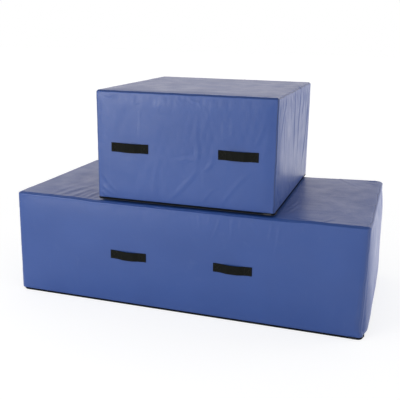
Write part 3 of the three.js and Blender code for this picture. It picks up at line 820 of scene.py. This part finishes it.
def core_ring(prefix, level, inset):
    """Points right round the core at one level, the given depth inside the cover."""
    block = BLOCKS[prefix]
    ring = []
    for face, turn in (("front", 1), ("right", 1), ("back", -1), ("left", -1)):
        run = FACES[face]["axes"][0]
        low, high = low_edge(block, run), edge_of(block, run)
        between = np.linspace(low, high, round((high - low) / SLAB_STEP))
        places = np.concatenate([[low] * 3, between, [high] * 2])
        turned = np.concatenate([[-1, -2 / 3, -1 / 3], np.zeros(len(places) - 5), [1 / 3, 2 / 3]])
        if turn < 0:
            places, turned = -places, -turned
        levels = np.full_like(places, level)
        ring.append(cover_points(prefix, face, places, levels, turned, 0, inset, plain=True)[0])
    return np.concatenate(ring)


def closed_off(rings, shares):
    """The rings, and at both ends the outline drawn in to the middle in steps."""
    ends = []
    for ring in (rings[0], rings[-1]):
        middle = ring.mean(axis=0)
        ends.append([middle + (ring - middle) * (share, share, 1) for share in shares])
    return ends[0][::-1] + rings + ends[1]


def foam_slab(prefix, node, material):
    block = BLOCKS[prefix]
    low, high = (corner.z - block["origin"][Z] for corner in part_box(f"{prefix}_{node}"))
    high = min(high, BLOCK_HEIGHT - FOAM_INSET - FOOT_SAG)
    core_foot = HEM_LEVEL + CORE_RISE
    sides = [(low + from_end, inward) for inward, from_end in SLAB_EDGES]
    sides.append(((low + high) / 2, -SLAB_BULGE))
    sides += [(high - from_end, inward) for inward, from_end in SLAB_EDGES[::-1]]
    rings = []
    for level, inward in sides:
        ring = core_ring(prefix, min(max(level, core_foot), edge_of(block, Z)), FOAM_INSET + inward)
        ring[:, Z] = level
        rings.append(ring)
    rings = closed_off(rings, SLAB_RING_SHARES)
    piece = ringed_skin(f"{node}_foam", prefix, rings, np.concatenate(rings))
    return dressed(piece, material, prefix, [f"{prefix}_{node}"])


# The base and the zip round its front and ends
BASE_ROUND = ((0.7 * MM, 0), (0.15 * MM, 0.35 * MM))  # how far in, and up from the foot
BASE_SECTION = (*BASE_ROUND, (0, BASE_THICKNESS / 2),
                *((inward, BASE_THICKNESS - level) for inward, level in BASE_ROUND[::-1]))
PATH_STEP = 7 * MM
CORNER_STEPS = 8
BASE_RING_SHARES = (0.96, 0.75, 0.4, 0.1)


def zip_route(block, end_cut=0, closed=False):
    """The middles and outward directions along the zip's line: points at zero radius from them."""
    x, y = edge_of(block, X), edge_of(block, Y)
    sides = [((-x, y - end_cut), (-x, -y)), ((-x, -y), (x, -y)), ((x, -y), (x, y - end_cut))]
    if closed:
        sides.append(((x, y), (-x, y)))
    middles, turns = [], []
    for number, (start, end) in enumerate(sides):
        turn = math.pi + number * QUARTER_TURN
        count = max(round(math.dist(start, end) / PATH_STEP), 2)
        middles += [np.linspace(start, end, count + 1)[1:-1], np.tile(end, (CORNER_STEPS + 1, 1))]
        turns += [np.full(count - 1, turn), turn + np.linspace(0, QUARTER_TURN, CORNER_STEPS + 1)]
    if not closed:
        del middles[-1], turns[-1]
    turns = np.concatenate(turns)
    return np.concatenate(middles), np.stack([np.cos(turns), np.sin(turns)], -1)


def route_lengths(points):
    return np.concatenate([[0], np.cumsum(np.linalg.norm(np.diff(points, axis=0), axis=1))])


def base_panel(prefix, material):
    block = BLOCKS[prefix]
    middles, outs = zip_route(block, closed=True)
    radius = block["radii"][X] - TAPE_DEPTH
    rings = []
    for inward, level in BASE_SECTION:
        plan = middles + outs * (radius - inward)
        rings.append(np.column_stack([plan, np.full(len(plan), level)]))
    rings = closed_off(rings, BASE_RING_SHARES)
    piece = ringed_skin("base_sheet", prefix, rings, np.concatenate(rings))
    return dressed(piece, material, prefix, [f"{prefix}_base_panel"])


TAPE_FLUTTER = 0.12 * MM
TAPE_FLUTTER_WAVES = (7, 60 * MM, 300 * MM, 0, 0)
TAPE_EDGE = 0.25 * MM


def zip_tape(prefix, half, low, high, material):
    block = BLOCKS[prefix]
    middles, outs = zip_route(block)
    outer = block["radii"][X] - TAPE_DEPTH
    inner = outer - TAPE_THICKNESS
    section = (
        (outer, low + TAPE_EDGE), (outer, (low + high) / 2), (outer, high - TAPE_EDGE),
        (outer - TAPE_EDGE, high), (inner + TAPE_EDGE, high),
        (inner, high - TAPE_EDGE), (inner, (low + high) / 2), (inner, low + TAPE_EDGE),
        (inner + TAPE_EDGE, low), (outer - TAPE_EDGE, low),
    )
    run = route_lengths(middles + outs * outer)
    flutter = -TAPE_FLUTTER * (1 + ripple(run, run * 0, block["seed"], *TAPE_FLUTTER_WAVES)) / 2
    columns, cloth = [], []
    for reach, level in section:
        plan = middles + outs * (reach + np.clip(flutter, -2 * TAPE_FLUTTER, 0))[:, None]
        columns.append(np.column_stack([plan, np.full(len(plan), level)]))
        cloth.append(np.column_stack([run, np.full(len(run), level), np.full(len(run), reach)]))
    piece = ringed_skin(f"{half}_zip_ribbon", prefix, np.stack(columns, axis=1), np.stack(cloth, axis=1))
    return dressed(piece, material, prefix, [f"{prefix}_{half}_zip_tape"])


COIL_STEPS = 6
COIL_SIDES = 4


def zip_coil(prefix, half, low, material):
    """The coil of one side of the zip: a wire wound along the whole of its line."""
    block = BLOCKS[prefix]
    middles, outs = zip_route(block, STOP_LENGTH + FIT_GAP)
    out_foot = block["radii"][X] - TAPE_DEPTH + FIT_GAP
    plan_middle = middles + outs * (out_foot + COIL_THICKNESS / 2)
    run = route_lengths(plan_middle)
    turns = int(run[-1] / COIL_PITCH)
    places = np.linspace(0, run[-1], turns * COIL_STEPS + 1)
    centre, out = (np.column_stack([np.interp(places, run, line[:, axis]) for axis in (X, Y)])
                   for line in (plan_middle, outs))
    out /= np.linalg.norm(out, axis=1, keepdims=True)
    angle = FULL_TURN * np.arange(len(places)) / COIL_STEPS + (0 if half == "cover" else math.pi)
    reach_out = COIL_THICKNESS / 2 - COIL_WIRE
    reach_up = COIL_WIDTH / 2 - COIL_WIRE
    strands = []
    for side in range(COIL_SIDES):
        turn = FULL_TURN * side / COIL_SIDES
        grow = COIL_WIRE * math.cos(turn)
        plan = centre + out * ((reach_out + grow) * np.cos(angle))[:, None]
        along = np.column_stack([-out[:, 1], out[:, 0]]) * (COIL_WIRE * math.sin(turn))
        level = low + COIL_WIDTH / 2 + (reach_up + grow) * np.sin(angle)
        strands.append(np.column_stack([plan + along, level]))
    piece = ringed_skin(f"{half}_zip_teeth", prefix, np.stack(strands, axis=1))
    return dressed(piece, material, prefix, [f"{prefix}_{half}_zip_coil"])


# Stitches, each a short thread that dips into the cloth at both ends
THREAD = 0.3 * MM
# Share of the stitch's length from its middle, and height above the cloth
STITCH_PROFILE = ((-0.5, -0.35 * MM), (-0.38, 0.1 * MM), (0, 0.22 * MM), (0.38, 0.1 * MM), (0.5, -0.35 * MM))
THREAD_SIDES = 5
STITCH_FILL_SHARE = 0.82


def stitches(name, points, outs, prefix, material):
    """One stitch between each two neighbouring points of every row, laid on the cloth."""
    verts, faces = [], []
    for row, out in zip(points, outs):
        row, out = np.asarray(row), np.asarray(out)
        for start, end, normal in zip(row[:-1], row[1:], out[:-1]):
            along = (end - start) * STITCH_FILL_SHARE
            length = np.linalg.norm(along)
            side = np.cross(along / length, normal)
            side /= np.linalg.norm(side)
            middle = (start + end) / 2
            first = len(verts)
            for share, height in STITCH_PROFILE:
                hub = middle + along * share + normal * height
                for k in range(THREAD_SIDES):
                    turn = FULL_TURN * k / THREAD_SIDES
                    verts.append(hub + THREAD * (math.cos(turn) * side + math.sin(turn) * normal))
            for ring in range(len(STITCH_PROFILE) - 1):
                for k in range(THREAD_SIDES):
                    n = (k + 1) % THREAD_SIDES
                    low = first + ring * THREAD_SIDES
                    high = low + THREAD_SIDES
                    faces.append((low + k, high + k, high + n, low + n))
            last = first + (len(STITCH_PROFILE) - 1) * THREAD_SIDES
            faces.append(tuple(first + k for k in range(THREAD_SIDES)))
            faces.append(tuple(last + k for k in range(THREAD_SIDES))[::-1])
    points = np.array(verts) + BLOCKS[prefix]["origin"]
    piece = turned_outward(smooth_mesh(f"{prefix}_{name}_stitching", points, faces))
    return dressed(piece, material, prefix)


HEM_STITCH = 5 * MM
HEM_STITCH_RISE = 6 * MM


def hem_stitching(prefix, material):
    """The row along the foot of the cover that holds it to the zip's upper tape."""
    block = BLOCKS[prefix]
    rows, outs = [], []
    for face in ("front", "right", "left", "back"):
        run = FACES[face]["axes"][0]
        reach = edge_of(block, run)
        a = np.arange(-reach, reach, HEM_STITCH)
        b = np.full_like(a, HEM_LEVEL + HEM_STITCH_RISE)
        row, lean, _ = cover_points(prefix, face, a, b)
        rows.append(row)
        outs.append(lean)
    return stitches("hem", rows, outs, prefix, material)


# Handles
SECTION_TURNS = 5
SECTION_PLACES = 9
HANDLE_LEAN_STEP = 0.5 * MM
HANDLE_SPACINGS = (1.2 * MM, 4 * MM)
HANDLE_ROUND_END = 1.5 * MM
HANDLE_THINNED_SHARE = 0.6


def handle_rise(place):
    slack = HANDLE_LENGTH / 2 - HANDLE_SEWN_END
    climb = np.clip((slack - np.abs(place)) / HANDLE_RAMP, 0, 1)
    return HANDLE_BOW * (1 - np.cos(math.pi * climb)) / 2


def handle_sag(prefix, place):
    loose = HANDLE_LENGTH / 2 - HANDLE_SEWN_END / 2
    return -HANDLE_SAGS[prefix] * np.clip(1 - (place / loose) ** 2, 0, 1)


def strap_section():
    """The strap's section: across its width and through its thickness, with rounded edges."""
    half, thick = HANDLE_WIDTH / 2, HANDLE_THICKNESS / 2
    section = []
    for way in (1, -1):
        for turn in np.linspace(-QUARTER_TURN, QUARTER_TURN, SECTION_TURNS):
            across = half - thick + thick * math.cos(turn)
            section.append((way * across, thick + way * thick * math.sin(turn)))
        for place in np.linspace(half - 3 * thick, -half + 3 * thick, SECTION_PLACES):
            section.append((way * place, thick + way * thick))
    return section


def handle_point(prefix, side, end, place, across, depth):
    """A point of a handle: along it, across it, and out from its underside."""
    step = HANDLE_LEAN_STEP
    lean = math.atan2(handle_rise(place + step) - handle_rise(place - step), 2 * step)
    x = place - math.sin(lean) * depth
    out = float(handle_rise(place)) + math.cos(lean) * depth + FIT_GAP
    level = HANDLE_HEIGHT + across + float(handle_sag(prefix, place))
    return np.array((end * HANDLE_SPACING / 2 + x, side * (BLOCK_WIDTH / 2 + out), level))


def handle_name(side, end):
    return f"{'front' if side < 0 else 'back'}_{'left' if end < 0 else 'right'}_handle"


def handle(prefix, side, end, material):
    places = graded(-HANDLE_LENGTH / 2, HANDLE_LENGTH / 2, *HANDLE_SPACINGS)
    middle = HANDLE_THICKNESS / 2
    rings, cloth = [], []
    for place in places:
        round_end = max(0.0, 1 - (HANDLE_LENGTH / 2 - abs(place)) / HANDLE_ROUND_END)
        ring = []
        for across, through in strap_section():
            depth = middle + (through - middle) * (1 - HANDLE_THINNED_SHARE * round_end)
            ring.append(handle_point(prefix, side, end, place, across, depth))
            cloth.append((place, across, through))
        rings.append(np.array(ring))
    name = handle_name(side, end)
    piece = ringed_skin(f"{name}_strap", prefix, rings, cloth)
    return dressed(piece, material, prefix, [f"{prefix}_{name}"])


SEWN_BOX_MARGIN = 5 * MM
SEWN_STITCH = 3.4 * MM


def stitch_line(start, end):
    count = max(round(math.dist(start, end) / SEWN_STITCH), 2)
    return np.linspace(start, end, count + 1)


def handle_stitching(prefix, side, end, material):
    """A box with a cross in it, sewn through each flat end of a handle."""
    rows = []
    high = HANDLE_WIDTH / 2 - SEWN_BOX_MARGIN
    far = HANDLE_LENGTH / 2 - SEWN_BOX_MARGIN
    near = HANDLE_LENGTH / 2 - HANDLE_SEWN_END + SEWN_BOX_MARGIN / 2
    for way in (-1, 1):
        corners = [(way * near, -high), (way * far, -high), (way * far, high), (way * near, high)]
        crossed = [(corners[0], corners[2]), (corners[1], corners[3])]
        for start, stop in [*zip(corners, corners[1:] + corners[:1]), *crossed]:
            rows.append([handle_point(prefix, side, end, place, across, HANDLE_THICKNESS)
                         for place, across in stitch_line(start, stop)])
    outs = [[np.array((0.0, float(side), 0.0))] * len(row) for row in rows]
    return stitches(handle_name(side, end), rows, outs, prefix, material)


BACKING_SINK = 2.4 * MM
BACKING_STEP = 12 * MM


def handle_backing(prefix, side, end, material):
    """The strip inside the cover that a handle is sewn through to."""
    face = "front" if side < 0 else "back"
    half_length = HANDLE_LENGTH / 2 + BACKING_MARGIN
    half_height = HANDLE_WIDTH / 2 + BACKING_MARGIN
    places = np.linspace(-half_length, half_length, round(2 * half_length / BACKING_STEP) + 1)
    levels = np.linspace(-half_height, half_height, round(2 * half_height / BACKING_STEP) + 1)
    a, b = np.meshgrid(end * HANDLE_SPACING / 2 + places, HANDLE_HEIGHT + levels)
    points, _, _ = cover_points(prefix, face, a, b, sink=BACKING_SINK, plain=True)
    points = points.reshape(-1, 3) + BLOCKS[prefix]["origin"]
    name = f"{prefix}_{handle_name(side, end)}_backing"
    cloth = np.stack([a, b, np.zeros_like(a)], -1).reshape(-1, 3)
    piece = smooth_mesh(f"{name}_strip", points, grid_faces(face, len(levels), len(places)), cloth)
    thicken(piece, BACKING_THICKNESS)
    return dressed(piece, material, prefix, [name])


# The zip's metal pieces keep their solids' shape, with their edges broken
METAL_EDGE = 0.22 * MM


def finish_metal(prefix, material):
    names = [f"{prefix}_{run}_zip_{kind}" for run in ("front", "end") for kind in ("slider", "pull")]
    names += [f"{prefix}_{side}_zip_stop" for side in ("left", "right")]
    for name in names:
        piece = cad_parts[name]
        piece.data.materials.clear()
        piece.data.materials.append(material)
        bevel = piece.modifiers.new("broken_edges", "BEVEL")
        bevel.width = METAL_EDGE
        bevel.segments = 2
        bevel.limit_method = "ANGLE"
        bevel.harden_normals = True


# Materials
class Shading:
    """A material's or world's nodes. Each method adds what it names and gives back its output."""

    def __init__(self, owner):
        owner.use_nodes = True
        self.owner = owner
        self.nodes = owner.node_tree.nodes

    def feed(self, socket, source):
        if isinstance(source, bpy.types.NodeSocket):
            self.owner.node_tree.links.new(source, socket)
        elif source is not None:
            socket.default_value = (*source, 1) if socket.type == "RGBA" else source

    def add(self, kind, inputs=None, output=0, **settings):
        node = self.nodes.new(f"ShaderNode{kind}")
        for name, value in settings.items():
            setattr(node, name, value)
        for name, source in (inputs or {}).items():
            self.feed(node.inputs[name], source)
        return node.outputs[output]

    def cloth(self):
        """The place on the flat cloth, whole and axis by axis: along, up, and in from the seams."""
        place = self.add("Attribute", output="Vector", attribute_name="cloth")
        return place, self.add("SeparateXYZ", {0: place}).node.outputs

    def math(self, operation, *values):
        return self.add("Math", dict(enumerate(values)), operation=operation)

    def noise(self, place, scale, detail=3.0, stretch=(1, 1, 1)):
        mapped = self.add("Mapping", {"Vector": place, "Scale": stretch})
        return self.add("TexNoise", {"Vector": mapped, "Scale": scale, "Detail": detail}, "Fac")

    def cells(self, place, scale):
        return self.add("TexVoronoi", {"Vector": place, "Scale": scale}, "Distance")

    def ramp(self, value, stops):
        shade = self.add("ValToRGB", {0: value})
        elements = shade.node.color_ramp.elements
        while len(elements) < len(stops):
            elements.new(0.5)
        for element, (position, colour) in zip(elements, stops):
            element.position = position
            element.color = (*colour, 1) if isinstance(colour, tuple) else (colour, colour, colour, 1)
        return shade

    def span(self, value, *limits):
        """A number that runs between the last two limits as its input runs between the first two."""
        return self.add("MapRange", dict(enumerate((value, *limits))))

    def bump(self, height, distance, strength=1.0, before=None):
        inputs = {"Strength": strength, "Distance": distance, "Height": height, "Normal": before}
        return self.add("Bump", inputs)

    def blend(self, share, first, second):
        return self.add("Mix", {"Factor": share, "A": first, "B": second}, "Result", data_type="RGBA")

    def choose(self, share, first, second):
        return self.add("MixShader", {0: share, 1: first, 2: second})

    def weave(self, split, *pitches):
        waves = [self.math("SINE", self.math("MULTIPLY", along, FULL_TURN / pitch))
                 for along, pitch in zip(split, pitches)]
        return self.math("MULTIPLY", *waves)

    def fade(self, distance, reach):
        """One at no distance, and less and less beyond the reach."""
        return self.math("EXPONENT", self.math("MULTIPLY", distance, -1 / reach))

    def seen_directly(self):
        """Whether a ray shows the camera the surroundings, and whether it shows them mirrored."""
        camera_ray = self.add("LightPath", output="Is Camera Ray")
        path = camera_ray.node.outputs
        return self.math("MAXIMUM", camera_ray, path["Is Transmission Ray"]), path["Is Glossy Ray"]

    def finished(self, inputs):
        """The material, once its surface has these inputs."""
        for name, source in inputs.items():
            self.feed(self.nodes["Principled BSDF"].inputs[name], source)
        return self.owner


def new_shading(name):
    return Shading(bpy.data.materials.new(name))


VINYL_BLUE = (0.027, 0.078, 0.292)
VINYL_DEEP = (0.021, 0.068, 0.268)
VINYL_WORN = (0.052, 0.104, 0.31)
# The colour of the painted shade laid along the seam grooves
VINYL_GROOVE_SHADE = (0.006, 0.012, 0.045)
WORN_REACH = 6 * MM
RUBBED_SHARE = 0.5
# How far from a seam the painted groove shade reaches
GROOVE_SHADE_REACH = 1.3 * MM
SCRIM_PITCH = 1.3 * MM
SCRIM_DEPTH = 0.02 * MM
GRAIN_DEPTH = 0.03 * MM
# How fine the cloth's drawn streaks are along and up each face, and how deep
STREAKS = {
    "front": ((0.8, 0.8, 1), 0.42 * MM),
    "back": ((0.5, 0.5, 1), 0.25 * MM),
    "right": ((1, 0.15, 1), 0.5 * MM),
    "left": ((1, 0.15, 1), 0.5 * MM),
    "top": ((0.1, 1, 1), 0.8 * MM),
}
STREAK_SCALE = 34


def blue_vinyl(name, streaks):
    """Coated vinyl: a faint scrim under a fine grain, drawn streaks, scuffs, paler rubbed seams and painted
    shade in the seam grooves.
    """
    tree = new_shading(name)
    place, split = tree.cloth()
    patches = tree.ramp(tree.noise(place, 3.5, 4), ((0.3, 0.0), (0.7, 1.0)))
    colour = tree.blend(patches, VINYL_BLUE, VINYL_DEEP)
    rubbed = tree.math("MULTIPLY", tree.fade(split[2], WORN_REACH), tree.noise(place, 40, 4))
    colour = tree.blend(tree.math("MULTIPLY", rubbed, RUBBED_SHARE), colour, VINYL_WORN)
    # Painted shade: the cloth darkens right beside each seam, standing in for the shade in the seam's groove
    colour = tree.blend(tree.fade(split[2], GROOVE_SHADE_REACH), colour, VINYL_GROOVE_SHADE)
    scuffs = tree.ramp(tree.noise(place, 22, 6, (1, 0.25, 1)), ((0.62, 0.0), (0.8, 0.35)))
    stretch, depth = streaks
    normal = tree.bump(tree.noise(place, STREAK_SCALE, 4, stretch), depth)
    normal = tree.bump(tree.weave(split, SCRIM_PITCH, SCRIM_PITCH), SCRIM_DEPTH, 1.0, normal)
    return tree.finished({
        "Base Color": tree.blend(scuffs, colour, VINYL_WORN),
        "Roughness": tree.ramp(tree.noise(place, 9, 4), ((0.2, 0.33), (0.8, 0.45))),
        "IOR": 1.5,
        "Normal": tree.bump(tree.noise(place, 900, 2), GRAIN_DEPTH, 0.5, normal),
    })


PEBBLE_SCALE = 420
PEBBLE_DEPTH = 0.5 * MM


def black_vinyl():
    """Pebbled non-slip vinyl of the base and the handles' backings."""
    tree = new_shading("black_vinyl")
    place, _ = tree.cloth()
    pebbles = tree.cells(place, PEBBLE_SCALE)
    return tree.finished({
        "Base Color": tree.blend(tree.noise(place, 14, 5), (0.004, 0.006, 0.010), (0.010, 0.013, 0.018)),
        "Roughness": tree.ramp(pebbles, ((0.0, 0.5), (0.9, 0.8))),
        "Normal": tree.bump(pebbles, PEBBLE_DEPTH, 0.7),
    })


def woven(name, mottle_scale, colours, roughness, gloss, pitches, depth):
    tree = new_shading(name)
    place, split = tree.cloth()
    return tree.finished({
        "Base Color": tree.blend(tree.noise(place, mottle_scale), *colours),
        "Roughness": roughness,
        "Specular IOR Level": gloss,
        "Normal": tree.bump(tree.weave(split, *pitches), depth, 0.8),
    })


WEBBING_PITCHES = (3.2 * MM, 1.6 * MM)
WEBBING_DEPTH = 0.3 * MM
TAPE_PITCHES = (1.1 * MM, 0.8 * MM)
TAPE_WEAVE_DEPTH = 0.2 * MM


def black_webbing():
    """Flat woven webbing: fine ribs across it, two rows to a rib, dull black with a little fading."""
    colours = ((0.0055, 0.0062, 0.005), (0.0095, 0.0105, 0.0085))
    return woven("black_webbing", 60, colours, 0.95, 0.16, WEBBING_PITCHES, WEBBING_DEPTH)


def zip_cloth():
    """The zip's woven tape: a fine herringbone."""
    colours = ((0.0015, 0.003, 0.007), (0.004, 0.006, 0.012))
    return woven("zip_tape", 120, colours, 0.9, 0.2, TAPE_PITCHES, TAPE_WEAVE_DEPTH)


def coil_nylon():
    """The coils' nylon wire, greyed along its crowns where sliders have run."""
    tree = new_shading("zip_coil")
    place = tree.add("NewGeometry", output="Position")
    rubbed = tree.ramp(place.node.outputs["Pointiness"], ((0.5, 0.0), (0.6, 1.0)))
    worn = tree.math("MULTIPLY", rubbed, tree.noise(place, 80))
    return tree.finished({
        "Base Color": tree.blend(worn, (0.003, 0.005, 0.010), (0.012, 0.017, 0.025)),
        "Roughness": 0.6,
        "Specular IOR Level": 0.2,
    })


METAL_SKIN_DEPTH = 0.03 * MM


def enamelled_metal():
    """Black enamel on cast zinc, rubbed through to bare metal along its edges."""
    tree = new_shading("zip_metal")
    place = tree.add("NewGeometry", output="Position")
    edge = tree.ramp(place.node.outputs["Pointiness"], ((0.6, 0.0), (0.72, 1.0)))
    chips = tree.ramp(tree.noise(place, 700, 4), ((0.45, 0.0), (0.6, 1.0)))
    bare = tree.math("MULTIPLY", edge, chips)
    return tree.finished({
        "Base Color": tree.blend(bare, (0.003, 0.004, 0.007), (0.5, 0.53, 0.58)),
        "Metallic": bare,
        "Roughness": tree.ramp(bare, ((0.0, 0.5), (1.0, 0.24))),
        "Normal": tree.bump(tree.noise(place, 1500, 2), METAL_SKIN_DEPTH, 0.4),
    })


PORE_DEPTH = 0.6 * MM


def foam(name, pale, dark, pore_scale):
    """Cut foam: open pores with painted shade at the middle of each, and a slow yellowing from place to
    place.
    """
    tree = new_shading(name)
    place, _ = tree.cloth()
    pores = tree.cells(place, pore_scale)
    return tree.finished({
        # The dark colour falls at the middle of each pore as painted shade, and where the noise is low as
        # yellowing
        "Base Color": tree.blend(tree.math("MULTIPLY", pores, tree.noise(place, 6)), dark, pale),
        "Roughness": 0.95,
        "Specular IOR Level": 0.1,
        "Normal": tree.bump(pores, PORE_DEPTH, 0.8),
    })


TWIST_DEPTH = 0.1 * MM


def thread(name, colour, sheen_colour):
    """Twisted polyester thread."""
    tree = new_shading(name)
    twist = tree.noise(tree.add("NewGeometry", output="Position"), 2500, 1)
    return tree.finished({
        "Base Color": tree.blend(twist, colour, sheen_colour),
        "Roughness": 0.6,
        "Normal": tree.bump(twist, TWIST_DEPTH, 0.6),
    })


# Camera, light and floor
CAMERA_PLACE = (1.1137, -3.5901, 1.5408)
CAMERA_YAW = math.radians(-17.987)
CAMERA_PITCH = math.radians(15.289)
CAMERA_ROLL = math.radians(0.752)
FOCAL_PIXELS = 646.3
PHOTO_PIXELS = 400
SENSOR_WIDTH = 36.0


def add_camera():
    data = bpy.data.cameras.new("camera")
    data.sensor_width = SENSOR_WIDTH
    data.lens = FOCAL_PIXELS / PHOTO_PIXELS * SENSOR_WIDTH
    camera = bpy.data.objects.new("camera", data)
    camera.matrix_world = Matrix.Translation(CAMERA_PLACE)
    for turn, axis in ((-CAMERA_YAW, "Z"), (QUARTER_TURN - CAMERA_PITCH, "X"), (CAMERA_ROLL, "Z")):
        camera.matrix_world = camera.matrix_world @ Matrix.Rotation(turn, 4, axis)
    bpy.context.scene.collection.objects.link(camera)
    bpy.context.scene.camera = camera


# Place, what it faces, width and height, power
LAMPS = {
    "key_lamp": ((-2.9, -4.4, 1.45), (-0.2, 0, 0.6), (2.2, 2.2), 98),
    "front_lamp": ((-1.4, -5.0, 1.6), (-0.1, 0, 0.5), (2.5, 2.0), 12),
    "end_lamp": ((4.2, 1.6, 1.4), (0.6, 0, 0.7), (2.0, 1.6), 36),
}


def add_lamp(name, place, target, size, power):
    data = bpy.data.lights.new(name, "AREA")
    data.shape = "RECTANGLE"
    data.size, data.size_y = size
    data.energy = power
    lamp = bpy.data.objects.new(name, data)
    lamp.location = place
    lamp.rotation_mode = "QUATERNION"
    lamp.rotation_quaternion = (Vector(target) - Vector(place)).to_track_quat("-Z", "Y")
    bpy.context.scene.collection.objects.link(lamp)


# Brightness by height, straight down to straight up: what reflections find, and what lights cloth
WALLS_REFLECTED = ((0.0, 1.0), (0.62, 0.95), (0.72, 0.65), (0.85, 0.2), (1.0, 0.08))
WALLS_LIGHTING = ((0.0, 0.41), (0.5, 0.41), (0.75, 0.58), (1.0, 0.62))
REFLECTED_STRENGTH = 1.5
REFLECTED_TINT = (1.0, 0.96, 0.98)


def tinted(stops, tint):
    return [(place, tuple(value * part for part in tint)) for place, value in stops]


def add_world():
    world = bpy.data.worlds.new("studio")
    bpy.context.scene.world = world
    tree = Shading(world)
    tree.nodes.remove(tree.nodes["Background"])
    seen, glossy = tree.seen_directly()
    toward = tree.add("SeparateXYZ", {0: tree.add("TexCoord", output="Generated")}, 2)
    height = tree.math("ADD", tree.math("MULTIPLY", toward, 0.5), 0.5)
    shades = []
    for stops, strength, tint in ((WALLS_LIGHTING, 1, (1, 1, 1)),
                                  (WALLS_REFLECTED, REFLECTED_STRENGTH, REFLECTED_TINT)):
        colour = tree.ramp(height, tinted(stops, tint))
        shades.append(tree.add("Background", {"Color": colour, "Strength": strength}))
    white = tree.add("Background", {"Color": (1, 1, 1)})
    shown = tree.choose(seen, tree.choose(glossy, *shades), white)
    tree.feed(tree.nodes["World Output"].inputs[0], shown)


FLOOR_HALF = 30.0
FLOOR_LEVEL = -0.2 * MM
FLOOR_PLAIN = (0.8, 0.8, 0.8)
FLOOR_SHOWN = (0.4, 0.4, 0.4)
# How bright the camera finds the floor near and far from the blocks, and how far each is
FLOOR_GLOWS = (0.73, 0.81)
FLOOR_GLOW_PLACES = (2.2, 6.0)
# The same for reflections, dimmer near the blocks as a painted shade of theirs, then the share of it
# that is left on the dark side of the room and where that side ends and begins
MIRRORED_GLOWS = (0.5, 0.96)
MIRRORED_PLACES = (0.9, 1.5)
DARK_SIDE_SHARE = 0.35
DARK_SIDE_PLACES = (-1.7, -0.95)


def add_floor():
    around = ((-1, -1), (1, -1), (1, 1), (-1, 1))
    corners = [(x * FLOOR_HALF, y * FLOOR_HALF, FLOOR_LEVEL) for x, y in around]
    floor = smooth_mesh("floor", corners, [(0, 1, 2, 3)])
    tree = new_shading("floor_white")
    tree.nodes.remove(tree.nodes["Principled BSDF"])
    seen, glossy = tree.seen_directly()
    place = tree.add("NewGeometry", output="Position")
    away = tree.add("VectorMath", {0: place}, "Value", operation="LENGTH")
    glow = tree.add("Emission", {"Strength": tree.span(away, *FLOOR_GLOW_PLACES, *FLOOR_GLOWS)})
    shown = tree.add("AddShader", {0: tree.add("BsdfDiffuse", {"Color": FLOOR_SHOWN}), 1: glow})
    aside = tree.add("SeparateXYZ", {0: place})
    mirrored_glow = tree.math("MULTIPLY", tree.span(away, *MIRRORED_PLACES, *MIRRORED_GLOWS),
                              tree.span(aside, *DARK_SIDE_PLACES, DARK_SIDE_SHARE, 1))
    plain = tree.add("BsdfDiffuse", {"Color": FLOOR_PLAIN})
    glow = tree.add("Emission", {"Color": REFLECTED_TINT, "Strength": mirrored_glow})
    lit = tree.choose(glossy, plain, tree.add("AddShader", {0: plain, 1: glow}))
    tree.feed(tree.nodes["Material Output"].inputs[0], tree.choose(seen, lit, shown))
    floor.data.materials.append(tree.owner)


add_camera()
add_world()
add_floor()
for lamp_name, lamp in LAMPS.items():
    add_lamp(lamp_name, *lamp)

bpy.context.scene.view_settings.view_transform = "Standard"

vinyls = {face_name: blue_vinyl(f"{face_name}_vinyl", stretch) for face_name, stretch in STREAKS.items()}
pebbled = black_vinyl()
webbing = black_webbing()
tape_cloth = zip_cloth()
nylon = coil_nylon()
metal = enamelled_metal()
soft_foam = foam("soft_foam", (0.62, 0.56, 0.40), (0.36, 0.30, 0.18), 500)
firm_foam = foam("firm_foam", (0.05, 0.053, 0.056), (0.018, 0.019, 0.02), 700)
blue_thread = thread("blue_thread", (0.02, 0.04, 0.16), (0.04, 0.08, 0.28))
black_thread = thread("black_thread", (0.006, 0.006, 0.006), (0.02, 0.02, 0.02))

settle_cloth()
for block_name in BLOCKS:
    for face_name in FACES:
        cover_panel(block_name, face_name, vinyls[face_name])
    for foam_node in FOAM_NODES:
        foam_slab(block_name, foam_node, firm_foam if foam_node in FIRM_FOAM_NODES else soft_foam)
    base_panel(block_name, pebbled)
    slot_top = ZIP_LEVEL + COIL_SLOT / 2
    slot_foot = ZIP_LEVEL - COIL_SLOT / 2
    zip_tape(block_name, "cover", slot_top, HEM_LEVEL + TAPE_UNDER_HEM, tape_cloth)
    zip_tape(block_name, "base", BASE_THICKNESS + FIT_GAP, slot_foot, tape_cloth)
    zip_coil(block_name, "cover", slot_top, nylon)
    zip_coil(block_name, "base", slot_foot - COIL_WIDTH, nylon)
    hem_stitching(block_name, blue_thread)
    finish_metal(block_name, metal)
    for handle_side in (-1, 1):
        for handle_end in (-1, 1):
            handle(block_name, handle_side, handle_end, webbing)
            handle_stitching(block_name, handle_side, handle_end, black_thread)
            handle_backing(block_name, handle_side, handle_end, pebbled)
